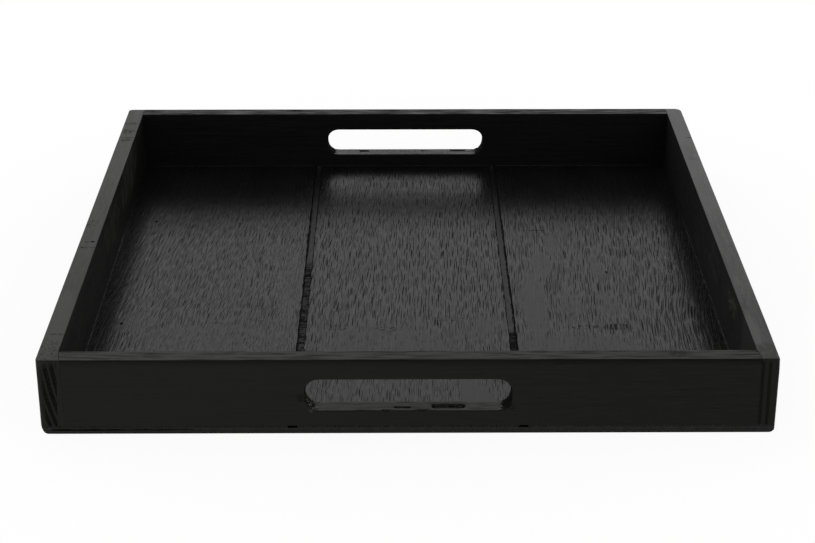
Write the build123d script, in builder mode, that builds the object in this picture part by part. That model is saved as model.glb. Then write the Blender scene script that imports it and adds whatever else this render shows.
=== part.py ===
"""A black-stained wooden serving tray, in millimetres.

The origin is on the underside, in the middle of the tray. +X is to the right, +Y to the back, +Z up.
Four frame boards stand on a plywood panel of the same outline. The side boards run the full depth,
the front and back boards butt between them, and each of those two has a slot for the hand.
The panel's face ply is cut by grooves from front to back, so that it looks like separate planks.
"""

from build123d import *
import os

os.makedirs("parts", exist_ok=True)

# Whole tray
tray_width = 400.0
tray_depth = 400.0
tray_height = 45.0

# Frame boards
board_thickness = 11.0

# Panel plies
back_ply_thickness = 1.4
core_ply_thickness = 2.4
face_ply_thickness = 1.2

# Planks, which are what the grooves leave of the face ply
plank_names = ("left", "middle", "right")
groove_width = 5.0

# Hand slots
slot_length = 112.0
slot_height = 19.0
wood_below_slot = 9.0

# Sanded edges
front_left_round = 2.0
front_right_round = 2.5
back_left_round = 3.0
back_right_round = 5.0
top_round = 0.8
underside_round = 1.0
slot_round = 0.5

# Corner brads, two at each corner, driven through the side boards and hidden by filler
corner_brad_length = 30.0
corner_brad_shank = 1.4
corner_brad_head = 2.4
corner_brad_head_height = 0.6
corner_brad_depth = 1.2
corner_brad_height_shares = (0.25, 0.75)

# Base brads, driven up through the panel into the boards, their heads left just below the surface
base_brads_in_a_row = 6
base_brad_shank = 1.2
base_brad_head = 2.2
base_brad_head_height = 0.5
base_brad_depth = 0.4
wood_above_brad = 1.6

# Both kinds of brad
point_length = 1.6
brad_clearance = 0.03

# Worked out from the sizes above
panel_thickness = back_ply_thickness + core_ply_thickness + face_ply_thickness
board_height = tray_height - panel_thickness
inner_width = tray_width - 2 * board_thickness
inner_depth = tray_depth - 2 * board_thickness
side_board_x = (tray_width - board_thickness) / 2
end_board_y = (tray_depth - board_thickness) / 2
slot_z = panel_thickness + wood_below_slot + slot_height / 2
face_ply_bottom = back_ply_thickness + core_ply_thickness
plank_pitch = inner_width / len(plank_names)
base_brad_length = panel_thickness + wood_below_slot - wood_above_brad - base_brad_depth
corner_rounds = {
    (-1, -1): front_left_round,
    (1, -1): front_right_round,
    (-1, 1): back_left_round,
    (1, 1): back_right_round,
}

# Where the brads enter. Each place looks out of the wood, so the brad goes in against it.
corner_brad_heights = [panel_thickness + share * board_height for share in corner_brad_height_shares]
corner_brad_places = {
    (side, end): [
        Plane(
            origin=(side * tray_width / 2, end * end_board_y, height),
            x_dir=(0, 1, 0),
            z_dir=(side, 0, 0),
        )
        for height in corner_brad_heights
    ]
    for side in (-1, 1)
    for end in (-1, 1)
}


def row_of_steps(length):
    """The middles of equal steps along a length, one for each base brad of a row."""
    step = length / base_brads_in_a_row
    first = (step - length) / 2
    return [first + number * step for number in range(base_brads_in_a_row)]


def under_panel(x, y):
    """A place on the underside that looks down."""
    return Plane(origin=(x, y, 0), x_dir=(1, 0, 0), z_dir=(0, 0, -1))


base_brad_places = {
    "front": [under_panel(x, -end_board_y) for x in row_of_steps(inner_width)],
    "back": [under_panel(x, end_board_y) for x in row_of_steps(inner_width)],
    "left": [under_panel(-side_board_x, y) for y in row_of_steps(inner_depth)],
    "right": [under_panel(side_board_x, y) for y in row_of_steps(inner_depth)],
}


def drill_for_corner_brads(places):
    """Cuts what the corner brads and their filler fill out of the piece being made."""
    with Locations(*places):
        CounterBoreHole(
            radius=corner_brad_shank / 2 + brad_clearance,
            counter_bore_radius=corner_brad_head / 2 + brad_clearance,
            counter_bore_depth=corner_brad_depth + corner_brad_head_height,
            depth=corner_brad_depth + corner_brad_length + brad_clearance,
        )


def drill_for_base_brads(*rows):
    """Cuts what the base brads of some rows fill out of the piece being made."""
    for row in rows:
        with Locations(*base_brad_places[row]):
            CounterBoreHole(
                radius=base_brad_shank / 2 + brad_clearance,
                counter_bore_radius=base_brad_head / 2 + brad_clearance,
                counter_bore_depth=base_brad_depth + base_brad_head_height,
                depth=base_brad_depth + base_brad_length + brad_clearance,
            )


# The tray's outline, each corner sanded to its own radius
with BuildSketch() as outline:
    Rectangle(tray_width, tray_depth)
    for (side, end), radius in corner_rounds.items():
        corner = Vector(side * tray_width / 2, end * tray_depth / 2, 0)
        fillet(outline.vertices().sort_by_distance(corner)[0], radius)

# The glued-up frame, sanded all round its top. The boards are cut from it, so their edges run on.
with BuildPart() as sanded_frame:
    with BuildSketch(Plane.XY.offset(panel_thickness)):
        add(outline.sketch)
        Rectangle(inner_width, inner_depth, mode=Mode.SUBTRACT)
    extrude(amount=board_height)
    fillet(sanded_frame.faces().sort_by(Axis.Z)[-1].edges(), top_round)

# The panel before it is taken apart into its plies
with BuildPart() as sanded_panel:
    with BuildSketch():
        add(outline.sketch)
    extrude(amount=panel_thickness)
    fillet(sanded_panel.faces().sort_by(Axis.Z)[0].edges(), underside_round)

# Side boards
for side, side_name in ((-1, "left"), (1, "right")):
    with BuildPart() as side_board:
        add(sanded_frame.part)
        with Locations((side * side_board_x, 0, panel_thickness + board_height / 2)):
            Box(board_thickness, tray_depth, board_height, mode=Mode.INTERSECT)
        for end in (-1, 1):
            drill_for_corner_brads(corner_brad_places[side, end])
        drill_for_base_brads(side_name)
    side_board.part.label = f"{side_name}_side_board"
    export_step(side_board.part, f"parts/{side_name}_side_board.step")

# Front and back boards, with their slots
for end, end_name in ((-1, "front"), (1, "back")):
    with BuildPart() as end_board:
        add(sanded_frame.part)
        with Locations((0, end * end_board_y, panel_thickness + board_height / 2)):
            Box(inner_width, board_thickness, board_height, mode=Mode.INTERSECT)
        with BuildSketch(Plane.XZ.offset(-end * end_board_y)):
            with Locations((0, slot_z)):
                SlotOverall(slot_length, slot_height)
        extrude(amount=board_thickness, both=True, mode=Mode.SUBTRACT)
        faces_with_slot = end_board.faces().filter_by(Axis.Y).sort_by(SortBy.AREA)[-2:]
        slot_edges = [wire.edges() for face in faces_with_slot for wire in face.inner_wires()]
        fillet([edge for edges in slot_edges for edge in edges], slot_round)
        for side in (-1, 1):
            drill_for_corner_brads(corner_brad_places[side, end])
        drill_for_base_brads(end_name)
    end_board.part.label = f"{end_name}_board"
    export_step(end_board.part, f"parts/{end_name}_board.step")

# Back ply
with BuildPart() as back_ply:
    add(sanded_panel.part)
    with Locations((0, 0, back_ply_thickness / 2)):
        Box(tray_width, tray_depth, back_ply_thickness, mode=Mode.INTERSECT)
    drill_for_base_brads(*base_brad_places)
back_ply.part.label = "back_ply"
export_step(back_ply.part, "parts/back_ply.step")

# Core ply
with BuildPart() as core_ply:
    add(sanded_panel.part)
    with Locations((0, 0, back_ply_thickness + core_ply_thickness / 2)):
        Box(tray_width, tray_depth, core_ply_thickness, mode=Mode.INTERSECT)
    drill_for_base_brads(*base_brad_places)
core_ply.part.label = "core_ply"
export_step(core_ply.part, "parts/core_ply.step")

# Planks of the face ply. The outer two reach the tray's edge under the side boards.
groove_middles = [(number - len(plank_names) / 2) * plank_pitch for number in range(1, len(plank_names))]
plank_starts = [-tray_width / 2] + [middle + groove_width / 2 for middle in groove_middles]
plank_ends = [middle - groove_width / 2 for middle in groove_middles] + [tray_width / 2]
for plank_name, start, stop in zip(plank_names, plank_starts, plank_ends):
    with BuildPart() as plank:
        add(sanded_panel.part)
        with Locations(((start + stop) / 2, 0, face_ply_bottom + face_ply_thickness / 2)):
            Box(stop - start, tray_depth, face_ply_thickness, mode=Mode.INTERSECT)
        drill_for_base_brads(*base_brad_places)
    plank.part.label = f"{plank_name}_face_plank"
    export_step(plank.part, f"parts/{plank_name}_face_plank.step")


def brad_profile(length, shank, head, head_height, depth):
    """Half of a brad's section, which goes down from its entry place at zero."""
    with BuildSketch(Plane.XZ) as profile:
        with BuildLine():
            Polyline(
                (0, -depth),
                (head / 2, -depth),
                (head / 2, -depth - head_height),
                (shank / 2, -depth - head_height),
                (shank / 2, -depth - length + point_length),
                (0, -depth - length),
                close=True,
            )
        make_face()
    return profile.sketch


# One corner brad and its filler, then the groups at the four corners
with BuildPart() as corner_brad:
    add(
        brad_profile(
            corner_brad_length,
            corner_brad_shank,
            corner_brad_head,
            corner_brad_head_height,
            corner_brad_depth,
        )
    )
    revolve(axis=Axis.Z)

with BuildPart() as filler_plug:
    with Locations((0, 0, -corner_brad_depth / 2)):
        Cylinder(corner_brad_head / 2, corner_brad_depth)

corner_names = {
    (-1, -1): "front_left",
    (1, -1): "front_right",
    (-1, 1): "back_left",
    (1, 1): "back_right",
}
for corner, corner_name in corner_names.items():
    with BuildPart() as corner_brads:
        with Locations(*corner_brad_places[corner]):
            add(corner_brad.part)
    corner_brads.part.label = f"{corner_name}_corner_brads"
    export_step(corner_brads.part, f"parts/{corner_name}_corner_brads.step")

for side, side_name in ((-1, "left"), (1, "right")):
    with BuildPart() as filler_plugs:
        with Locations(*corner_brad_places[side, -1], *corner_brad_places[side, 1]):
            add(filler_plug.part)
    filler_plugs.part.label = f"{side_name}_filler_plugs"
    export_step(filler_plugs.part, f"parts/{side_name}_filler_plugs.step")

# One base brad, then the row under each board
with BuildPart() as base_brad:
    add(
        brad_profile(
            base_brad_length,
            base_brad_shank,
            base_brad_head,
            base_brad_head_height,
            base_brad_depth,
        )
    )
    revolve(axis=Axis.Z)

for row_name, places in base_brad_places.items():
    with BuildPart() as base_brads:
        with Locations(*places):
            add(base_brad.part)
    base_brads.part.label = f"{row_name}_base_brads"
    export_step(base_brads.part, f"parts/{row_name}_base_brads.step")
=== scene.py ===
"""The looks of a black-stained wooden serving tray, in metres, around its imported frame.

+X is to the tray's right, +Y to its back and +Z up, and the origin is under its middle. Four boards
stand on a panel of three plies. Two grooves cut the panel's face ply, so that it looks like planks.
"""

import math

import bmesh
import bpy
import numpy as np
from bpy.props import FloatProperty, FloatVectorProperty, IntProperty, PointerProperty
from bpy.types import NodeSocket, Operator, Panel, PropertyGroup
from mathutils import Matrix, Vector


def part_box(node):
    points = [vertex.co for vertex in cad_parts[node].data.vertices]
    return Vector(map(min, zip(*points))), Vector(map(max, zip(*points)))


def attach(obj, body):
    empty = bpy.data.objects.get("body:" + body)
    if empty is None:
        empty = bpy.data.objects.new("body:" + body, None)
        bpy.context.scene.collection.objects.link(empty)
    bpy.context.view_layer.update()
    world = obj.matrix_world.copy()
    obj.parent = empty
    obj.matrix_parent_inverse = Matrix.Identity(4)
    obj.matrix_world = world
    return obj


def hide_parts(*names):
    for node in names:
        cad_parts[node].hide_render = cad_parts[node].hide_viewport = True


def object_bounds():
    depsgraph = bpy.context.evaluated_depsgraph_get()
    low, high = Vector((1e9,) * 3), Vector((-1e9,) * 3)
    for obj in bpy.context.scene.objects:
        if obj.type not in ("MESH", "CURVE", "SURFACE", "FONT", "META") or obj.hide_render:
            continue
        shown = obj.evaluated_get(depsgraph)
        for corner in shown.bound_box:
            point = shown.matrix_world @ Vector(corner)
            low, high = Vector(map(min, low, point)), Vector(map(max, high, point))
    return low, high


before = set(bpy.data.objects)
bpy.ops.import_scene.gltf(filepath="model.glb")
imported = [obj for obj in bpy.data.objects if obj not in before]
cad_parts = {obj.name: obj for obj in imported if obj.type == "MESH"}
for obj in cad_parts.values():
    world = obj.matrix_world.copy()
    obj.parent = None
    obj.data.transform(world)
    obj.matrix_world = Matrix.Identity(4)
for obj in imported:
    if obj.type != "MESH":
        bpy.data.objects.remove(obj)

bl_info = {
    "name": "Stained serving tray",
    "version": (1, 0, 0),
    "blender": (4, 5, 0),
    "location": "3D View > Sidebar > Tray",
    "description": "Builds the boards, planks, plies and brads of a stained wooden serving tray",
    "category": "Object",
}

cad_low, cad_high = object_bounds()
MM = 0.001
X, Y, Z = 0, 1, 2
BODY = "root"


# What a user would change

def length_setting(name, description, millimetres):
    """A length, with its default in millimetres."""
    return FloatProperty(name=name, description=description, default=millimetres * MM, unit="LENGTH")


def colour_setting(name, description, default):
    """A colour."""
    return FloatVectorProperty(
        name=name, description=description, default=default, subtype="COLOR", size=3, min=0, max=1
    )


def share_setting(name, description, default):
    """A share from 0 to 1."""
    return FloatProperty(name=name, description=description, default=default, subtype="FACTOR", min=0, max=1)


class TraySizes(PropertyGroup):
    """Sizes of the tray's finer shapes. Its main sizes come from the frame."""

    slot_length: length_setting("Slot length", "Length of each hand slot", 112)
    slot_height: length_setting("Slot height", "Height of each hand slot", 19)
    wood_below_slot: length_setting("Wood below slot", "Wood left between a slot and the panel", 9)
    slot_round: length_setting("Slot round", "Radius of a slot's edges", 0.5)
    rim_round: length_setting("Rim round", "Radius of the rim's outer and inner edges", 0.7)
    joint_round: length_setting("Joint round", "Radius of the edges where two boards meet", 0.09)
    finish_bead: length_setting(
        "Finish bead", "Radius of the finish that runs into the corner of floor and wall", 0.3
    )
    pore_depth: length_setting("Pore depth", "Depth of the open pores of the planks", 0.05)
    brad_sides: IntProperty(
        name="Brad sides", description="How many flats go round a brad", default=20, min=8
    )


class TrayFinish(PropertyGroup):
    """The tray's stain, gloss and metals."""

    stain: colour_setting("Stain", "Colour of the stained wood", (0.0025, 0.0025, 0.0024))
    open_pore: colour_setting(
        "Open pore", "Colour inside pores, cracks and torn wood", (0.0018, 0.0018, 0.0017)
    )
    rubbed_wood: colour_setting(
        "Rubbed wood", "Colour of the wood where the stain is rubbed thin", (0.15, 0.146, 0.132)
    )
    steel: colour_setting("Brad steel", "Colour of the brads", (0.11, 0.105, 0.1))
    board_roughness: share_setting("Board roughness", "Roughness of the boards' finish", 0.3)
    plank_roughness: share_setting("Plank roughness", "Roughness of the planks' finish", 0.25)


class TrayStudio(PropertyGroup):
    """The studio round the tray."""

    lens: FloatProperty(
        name="Lens", description="Focal length in millimetres on a 36 mm wide sensor",
        default=84.517, min=1,
    )
    camera_place: FloatVectorProperty(
        name="Camera place", description="Where the camera stands",
        default=(-5.2183 * MM, -1113.851 * MM, 511.803 * MM), subtype="XYZ", unit="LENGTH", size=3,
    )
    camera_tilt: FloatProperty(
        name="Camera tilt", description="The camera's turn up from straight down",
        default=math.radians(65.585), subtype="ANGLE",
    )
    camera_turn: FloatProperty(
        name="Camera turn", description="The camera's turn about the upright axis",
        default=math.radians(-0.302), subtype="ANGLE",
    )
    floor_colour: colour_setting(
        "Floor colour", "Colour of the floor that the tray stands on", (0.86, 0.86, 0.86)
    )
    sky_light: FloatProperty(
        name="Sky light", description="Strength of the even light from all round", default=0.55, min=0
    )
    zenith_light: FloatProperty(
        name="Zenith light", description="How bright the sky overhead looks in the finish",
        default=0.5, min=0, max=1,
    )
    lamp_power: FloatProperty(
        name="Lamp power", description="Power of the larger soft lamp", default=9.0, unit="POWER"
    )


# Sheets of points

def stations(start, stop, step, close=()):
    """Places from start to stop, about a step apart, with closer ones near both ends."""
    close = np.array(close)
    margin = close[-1] if len(close) else 0.0
    count = max(1, round((stop - start - 2 * margin) / step))
    middle = np.linspace(start + margin, stop - margin, count + 1)
    if not len(close):
        return middle
    return np.concatenate([[start], start + close[:-1], middle, stop - close[-2::-1], [stop]])


def runs(*pieces):
    """One run of stations from several that meet end to end."""
    return np.concatenate([pieces[0]] + [piece[1:] for piece in pieces[1:]])


def sheet(first, second, place):
    """A sheet of points, where place gives x, y and z for each pair of stations."""
    u, v = np.meshgrid(first, second, indexing="ij")
    return np.stack(np.broadcast_arrays(*place(u, v)), axis=-1)


def box_sheets(xs, ys, zs, sides="xXyYzZ"):
    """Sheets over a box's sides. A small letter is the low side along its axis, a capital the high one."""
    makers = {
        "x": lambda at: sheet(ys, zs, lambda y, z: (xs[at], y, z)),
        "y": lambda at: sheet(xs, zs, lambda x, z: (x, ys[at], z)),
        "z": lambda at: sheet(xs, ys, lambda x, y: (x, y, zs[at])),
    }
    return [makers[side.lower()](-1 if side.isupper() else 0) for side in sides]


def outline(sheet_of_side):
    """The points all round a sheet, as one loop."""
    return np.concatenate(
        [
            sheet_of_side[:-1, 0],
            sheet_of_side[-1, :-1],
            sheet_of_side[:0:-1, -1],
            sheet_of_side[0, :0:-1],
        ]
    )


def sew(name, sheets, loops=()):
    """One object from sheets and flat loops of points that share their edges, its faces outwards."""
    faces, start = [], 0
    for points in sheets:
        index = start + np.arange(points.shape[0] * points.shape[1]).reshape(points.shape[:2])
        quads = np.stack([index[:-1, :-1], index[1:, :-1], index[1:, 1:], index[:-1, 1:]], axis=-1)
        faces += quads.reshape(-1, 4).tolist()
        start += index.size
    for loop in loops:
        faces.append(list(range(start, start + len(loop))))
        start += len(loop)
    every_point = np.concatenate([points.reshape(-1, 3) for points in (*sheets, *loops)])
    mesh = bpy.data.meshes.new(name)
    mesh.from_pydata(every_point.tolist(), [], faces)
    work = bmesh.new()
    work.from_mesh(mesh)
    bmesh.ops.remove_doubles(work, verts=work.verts, dist=0.002 * MM)
    bmesh.ops.recalc_face_normals(work, faces=work.faces)
    work.to_mesh(mesh)
    work.free()
    piece = bpy.data.objects.new(name, mesh)
    bpy.context.scene.collection.objects.link(piece)
    return piece


def points_of(piece):
    """A piece's points as an array."""
    points = np.empty(len(piece.data.vertices) * 3)
    piece.data.vertices.foreach_get("co", points)
    return points.reshape(-1, 3)


def move_points(piece, points):
    """Puts a piece's points where the array says."""
    piece.data.vertices.foreach_set("co", points.ravel())
    piece.data.update()


def smooth_step(value, low, high):
    """0 up to low, 1 from high on, and an even curve between them."""
    share = np.clip((value - low) / (high - low), 0, 1)
    return share * share * (3 - 2 * share)


def wander(seed, places, spacing):
    """Smooth values from -1 to 1 along some places, which change about once a spacing."""
    knots = np.random.default_rng(seed).uniform(-1, 1, 8192)
    steps = np.asarray(places) / spacing + 4096
    whole = np.floor(steps).astype(int)
    share = smooth_step(steps - whole, 0, 1)
    return knots[whole] * (1 - share) + knots[whole + 1] * share


def mottle(seed, across, along, width, length):
    """Smooth values from -1 to 1 over a surface, in patches of about that width and length."""
    knots = np.random.default_rng(seed).uniform(-1, 1, (1024, 2048))
    steps_across, steps_along = across / width + 512, along / length + 1024
    i, j = np.floor(steps_across).astype(int), np.floor(steps_along).astype(int)
    a, b = smooth_step(steps_across - i, 0, 1), smooth_step(steps_along - j, 0, 1)
    near = knots[i, j] * (1 - a) + knots[i + 1, j] * a
    far = knots[i, j + 1] * (1 - a) + knots[i + 1, j + 1] * a
    return near * (1 - b) + far * b


def ease(points, low, high, first, second, radius):
    """Rounds the edge of a box between two of its sides, each given as an axis and -1 or 1."""
    ways = []
    for axis, side in (first, second):
        depth = high[axis] - points[:, axis] if side > 0 else points[:, axis] - low[axis]
        ways.append(radius - depth)
    inside = (ways[0] > 0) & (ways[1] > 0)
    share = np.maximum(*ways) / np.maximum(np.hypot(*ways), 1e-9)
    for (axis, side), way in zip((first, second), ways):
        points[:, axis] -= side * np.where(inside, way * (1 - share), 0.0)


# The tray's low front corners, in millimetres: reach of the wear inwards and upwards by side, and to the back
LOW_CORNERS = {-1: (4.6, 6.9), 1: (5.0, 2.3)}
LOW_CORNER_DEPTH = 9.0


def wear_low_corners(points):
    """Wears the tray's two low front corners round, as seen from the front, less and less to the back."""
    share = 1 - smooth_step(points[:, Y] - cad_low.y, 0, LOW_CORNER_DEPTH * MM)
    for side, reach in LOW_CORNERS.items():
        inward = np.stack([side * (side * cad_high.x - points[:, X]), points[:, Z] - cad_low.z])
        sizes = np.maximum(np.outer(reach, share) * MM, 1e-9)
        ways = 1 - inward / sizes
        length = np.hypot(*ways)
        worn = (ways > 0).all(axis=0) & (length > 1)
        pulled = np.where(worn, ways * (1 - 1 / np.maximum(length, 1e-9)) * sizes, 0.0)
        points[:, X] -= side * pulled[0]
        points[:, Z] += pulled[1]


# Node trees

class Wiring:
    """Adds nodes to a shader or geometry tree. Inputs may be numbers, vectors or other nodes' outputs."""

    def __init__(self, tree):
        self.tree = tree

    def node(self, kind, inputs=(), **settings):
        """A node with its settings and its inputs, which are given by name or by number."""
        made = self.tree.nodes.new(kind)
        for name, value in settings.items():
            setattr(made, name, value)
        for name, value in dict(inputs).items():
            if isinstance(value, NodeSocket):
                self.tree.links.new(value, made.inputs[name])
            else:
                made.inputs[name].default_value = value
        return made

    def math(self, operation, *values):
        """One step of arithmetic."""
        return self.node("ShaderNodeMath", dict(enumerate(values)), operation=operation).outputs[0]

    def vector(self, operation, *values):
        """One step of vector arithmetic."""
        made = self.node("ShaderNodeVectorMath", dict(enumerate(values)), operation=operation)
        return made.outputs["Value" if operation == "LENGTH" else "Vector"]

    def join(self, x, y, z=0.0):
        """A vector from its parts."""
        return self.node("ShaderNodeCombineXYZ", {0: x, 1: y, 2: z}).outputs[0]

    def split(self, place):
        """The three parts of a vector."""
        return self.node("ShaderNodeSeparateXYZ", {0: place}).outputs

    def steps(self, *ways):
        """Places counted in steps. Each way is a distance and the length of its step in millimetres."""
        return self.join(*(self.math("DIVIDE", distance, step * MM) for distance, step in ways))

    def fade(self, value, low, high, start=0.0, stop=1.0):
        """Goes from start to stop, gently at both ends, as the value goes from low to high."""
        inputs = {"Value": value, "From Min": low, "From Max": high, "To Min": start, "To Max": stop}
        return self.node("ShaderNodeMapRange", inputs, interpolation_type="SMOOTHSTEP").outputs[0]

    def blend(self, share, first, second):
        """Goes evenly from the first value to the second as the share goes from 0 to 1."""
        inputs = {"Value": share, "To Min": first, "To Max": second}
        return self.node("ShaderNodeMapRange", inputs).outputs[0]

    def swing(self, noise, amount):
        """A value about zero, from a noise about 0.5."""
        return self.math("MULTIPLY", self.math("SUBTRACT", noise, 0.5), amount)

    def noise(self, place, seed=0.0, detail=1.0, roughness=0.5):
        """Soft noise about 0.5 that changes about once a step of place."""
        inputs = {"Vector": place, "W": seed, "Scale": 1.0, "Detail": detail, "Roughness": roughness}
        return self.node("ShaderNodeTexNoise", inputs, noise_dimensions="4D").outputs[0]

    def oval(self, place, centre, reach, flat=0.5):
        """1 round a centre and 0 outside its reach, both in millimetres."""
        centre, reach = (tuple(value * MM for value in values) for values in (centre, reach))
        near = self.vector("DIVIDE", self.vector("SUBTRACT", place, centre), reach)
        return self.fade(self.vector("LENGTH", near), flat, 1.0, 1.0, 0.0)

    def colour(self, share, first, second):
        """A colour that goes from the first to the second."""
        ends = [value if isinstance(value, NodeSocket) else (*value, 1.0) for value in (first, second)]
        inputs = {0: share, 6: ends[0], 7: ends[1]}
        return self.node("ShaderNodeMix", inputs, data_type="RGBA").outputs[2]

    def most(self, *values):
        """The largest of several values."""
        found = values[0]
        for value in values[1:]:
            found = self.math("MAXIMUM", found, value)
        return found

    def total(self, *values):
        """The sum of several values."""
        found = values[0]
        for value in values[1:]:
            found = self.math("ADD", found, value)
        return found

    def product(self, *values):
        """Several values multiplied."""
        found = values[0]
        for value in values[1:]:
            found = self.math("MULTIPLY", found, value)
        return found


# Where the planks' grain bends: middle, reach, and how far it is pushed to the right, in millimetres
GRAIN_BENDS = (
    ((172, -70), (40, 75), 3.5),
    ((90, 20), (26, 70), -2.0),
    ((-172, -110), (26, 50), -2.5),
)

# Where the planks have fewer pores (below zero) or more (above it): middle, reach, change
PORE_PATCHES = (
    ((78.6, -45), (10, 58), -0.2),
    ((87, 14), (7.5, 26), -0.2),
    ((96, 46), (6.5, 24), -0.18),
    ((106, 74), (6, 18), -0.14),
    ((122.9, 6.6), (4.5, 26), -0.14),
    ((124, -46), (7, 26), -0.1),
    ((102, -45), (9, 32), -0.1),
    ((90, 4), (2.4, 32), 0.06),
    ((100, -108), (56, 26), -0.15),
    ((163, -66), (24, 50), 0.04),
    ((-10, -108), (54, 44), -0.13),
    ((0, -163), (80, 30), -0.05),
    ((41, -178), (9, 26), -0.2),
    ((44, -82), (16, 26), -0.1),
    ((35, -160), (6, 24), -0.2),
    ((-73, -20), (12, 60), -0.08),
    ((-86, 30), (9, 24), -0.06),
    ((-164, -71), (13, 18), -0.1),
    ((-112, -100), (62, 40), -0.09),
)

# The cells that hold the planks' pores: how many times as wide and as long as a pore they are, how far
# each lot of cells is moved from the one before, and how much smaller a pore is where a patch has fewer
CELL_WIDTH = 4.8
CELL_LENGTH = 1.25
CELL_SHIFT = (17.3, 5.1, 0.0)
PORE_LOSS = 4.0

# How far the planks' grain leans to the right on its way back: at the tray's middle, and how much more
# for the square of the distance from there in metres
GRAIN_LEAN = 0.037
GRAIN_LEAN_MORE = 1.9


def veneer_grain(w, place):
    """How far a place is across the planks' grain, which leans more towards the tray's two sides."""
    x, y, z = w.split(place)
    lean = w.math("MULTIPLY_ADD", w.product(x, x), GRAIN_LEAN_MORE, GRAIN_LEAN)
    waver = w.noise(w.steps((x, 35), (y, 80)))
    bends = [
        w.product(w.oval(place, (*centre, 5), (*reach, 1000), 0.0), push * MM)
        for centre, reach, push in GRAIN_BENDS
    ]
    return w.total(w.math("SUBTRACT", x, w.product(lean, y)), w.swing(waver, 4 * MM), *bends)


def veneer_patches(w, place):
    """How many more pores the planks have at a place, by the table of patches."""
    found = [
        w.product(w.oval(place, (*centre, 5), (*reach, 1000)), change)
        for centre, reach, change in PORE_PATCHES
    ]
    return w.total(*found)


def veneer_pores(w, across, along, patches, width, length):
    """How open the planks' grain is, from 0 to 1, and how glossy the lips of its pores are.

    The pores are long ovals of about that width and length in millimetres, each alone in a cell. Three
    lots of cells lie over each other.
    """
    bands = w.noise(w.steps((across, 7), (along, 150)), 3.0)
    room = w.total(w.product(patches, PORE_LOSS), w.swing(bands, 0.4), 0.64)
    pores, lips = [], []
    for number in range(3):
        place = w.steps((across, CELL_WIDTH * width), (along, CELL_LENGTH * length))
        place = w.vector("ADD", place, tuple(number * shift for shift in CELL_SHIFT))
        inputs = {"Vector": place, "Scale": 1.0}
        cell = w.node("ShaderNodeTexVoronoi", inputs, voronoi_dimensions="2D").outputs
        growth, depth, _ = w.split(cell["Color"])
        size = w.most(w.math("MULTIPLY_ADD", growth, 0.5, room), 0.02)
        off = w.vector("SUBTRACT", place, cell["Position"])
        off = w.vector("MULTIPLY", off, (2.0 * CELL_WIDTH, 2.0 * CELL_LENGTH, 0.0))
        near = w.math("DIVIDE", w.vector("LENGTH", off), size)
        pores.append(w.product(w.fade(near, 0.8, 1.15, 1.0, 0.0), w.blend(depth, 0.6, 1.0)))
        lips.append(w.product(w.fade(near, 0.9, 1.2), w.fade(near, 1.4, 2.4, 1.0, 0.0)))
    return w.most(*pores), w.most(*lips)


def worn_spots(w, place, spots):
    """How worn a place is, by a table of spots: middle, reach and strength, then fleck size and cover.

    A spot without the last two is whole.
    """
    found = [0.0]
    for number, (centre, reach, strength, *flecked) in enumerate(spots):
        rag = w.noise(w.vector("DIVIDE", place, tuple(0.6 * size * MM for size in reach)), 50.0 + number, 2.0)
        middle, sizes = (tuple(value * MM for value in values) for values in (centre, reach))
        near = w.vector("LENGTH", w.vector("DIVIDE", w.vector("SUBTRACT", place, middle), sizes))
        inside = w.fade(w.total(near, w.swing(rag, 0.9)), 0.7, 1.05, 1.0, 0.0)
        if flecked:
            fleck, cover = flecked
            flecks = w.noise(w.vector("DIVIDE", place, tuple(size * MM for size in fleck)), 70.0 + number)
            edge = 0.5 + 0.28 * (0.5 - cover)
            inside = w.product(inside, w.fade(flecks, edge - 0.04, edge + 0.04))
        found.append(w.product(inside, strength))
    return w.most(*found)


def geometry_tree(name, inputs):
    """A geometry tree with named inputs, its wiring, and its group input's outputs."""
    tree = bpy.data.node_groups.new(name, "GeometryNodeTree")
    tree.interface.new_socket("Geometry", in_out="INPUT", socket_type="NodeSocketGeometry")
    tree.interface.new_socket("Geometry", in_out="OUTPUT", socket_type="NodeSocketGeometry")
    for socket_name, kind in inputs.items():
        tree.interface.new_socket(socket_name, in_out="INPUT", socket_type=f"NodeSocket{kind}")
    w = Wiring(tree)
    return w, w.node("NodeGroupInput").outputs


def close_tree(w, geometry, material):
    """Ends a geometry tree: instances made real, the material set, and the result given out."""
    real = w.node("GeometryNodeRealizeInstances", {0: geometry}).outputs[0]
    painted = w.node("GeometryNodeSetMaterial", {"Geometry": real, "Material": material}).outputs[0]
    w.node("NodeGroupOutput", {0: painted})
    return w.tree


def run_tree(piece, tree, **values):
    """Runs a geometry tree on a piece, keeps the result as its plain mesh and drops the modifier."""
    modifier = piece.modifiers.new(tree.name, "NODES")
    modifier.node_group = tree
    for item in tree.interface.items_tree:
        key = item.name.lower().replace(" ", "_")
        if item.in_out == "INPUT" and key in values:
            modifier[item.identifier] = values.pop(key)
    if values:
        raise ValueError(f"{tree.name} has no input for {sorted(values)}")
    bpy.context.view_layer.update()
    graph = bpy.context.evaluated_depsgraph_get()
    made = bpy.data.meshes.new_from_object(piece.evaluated_get(graph), depsgraph=graph)
    before = piece.data
    piece.modifiers.remove(modifier)
    piece.data = made
    bpy.data.meshes.remove(before)


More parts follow.
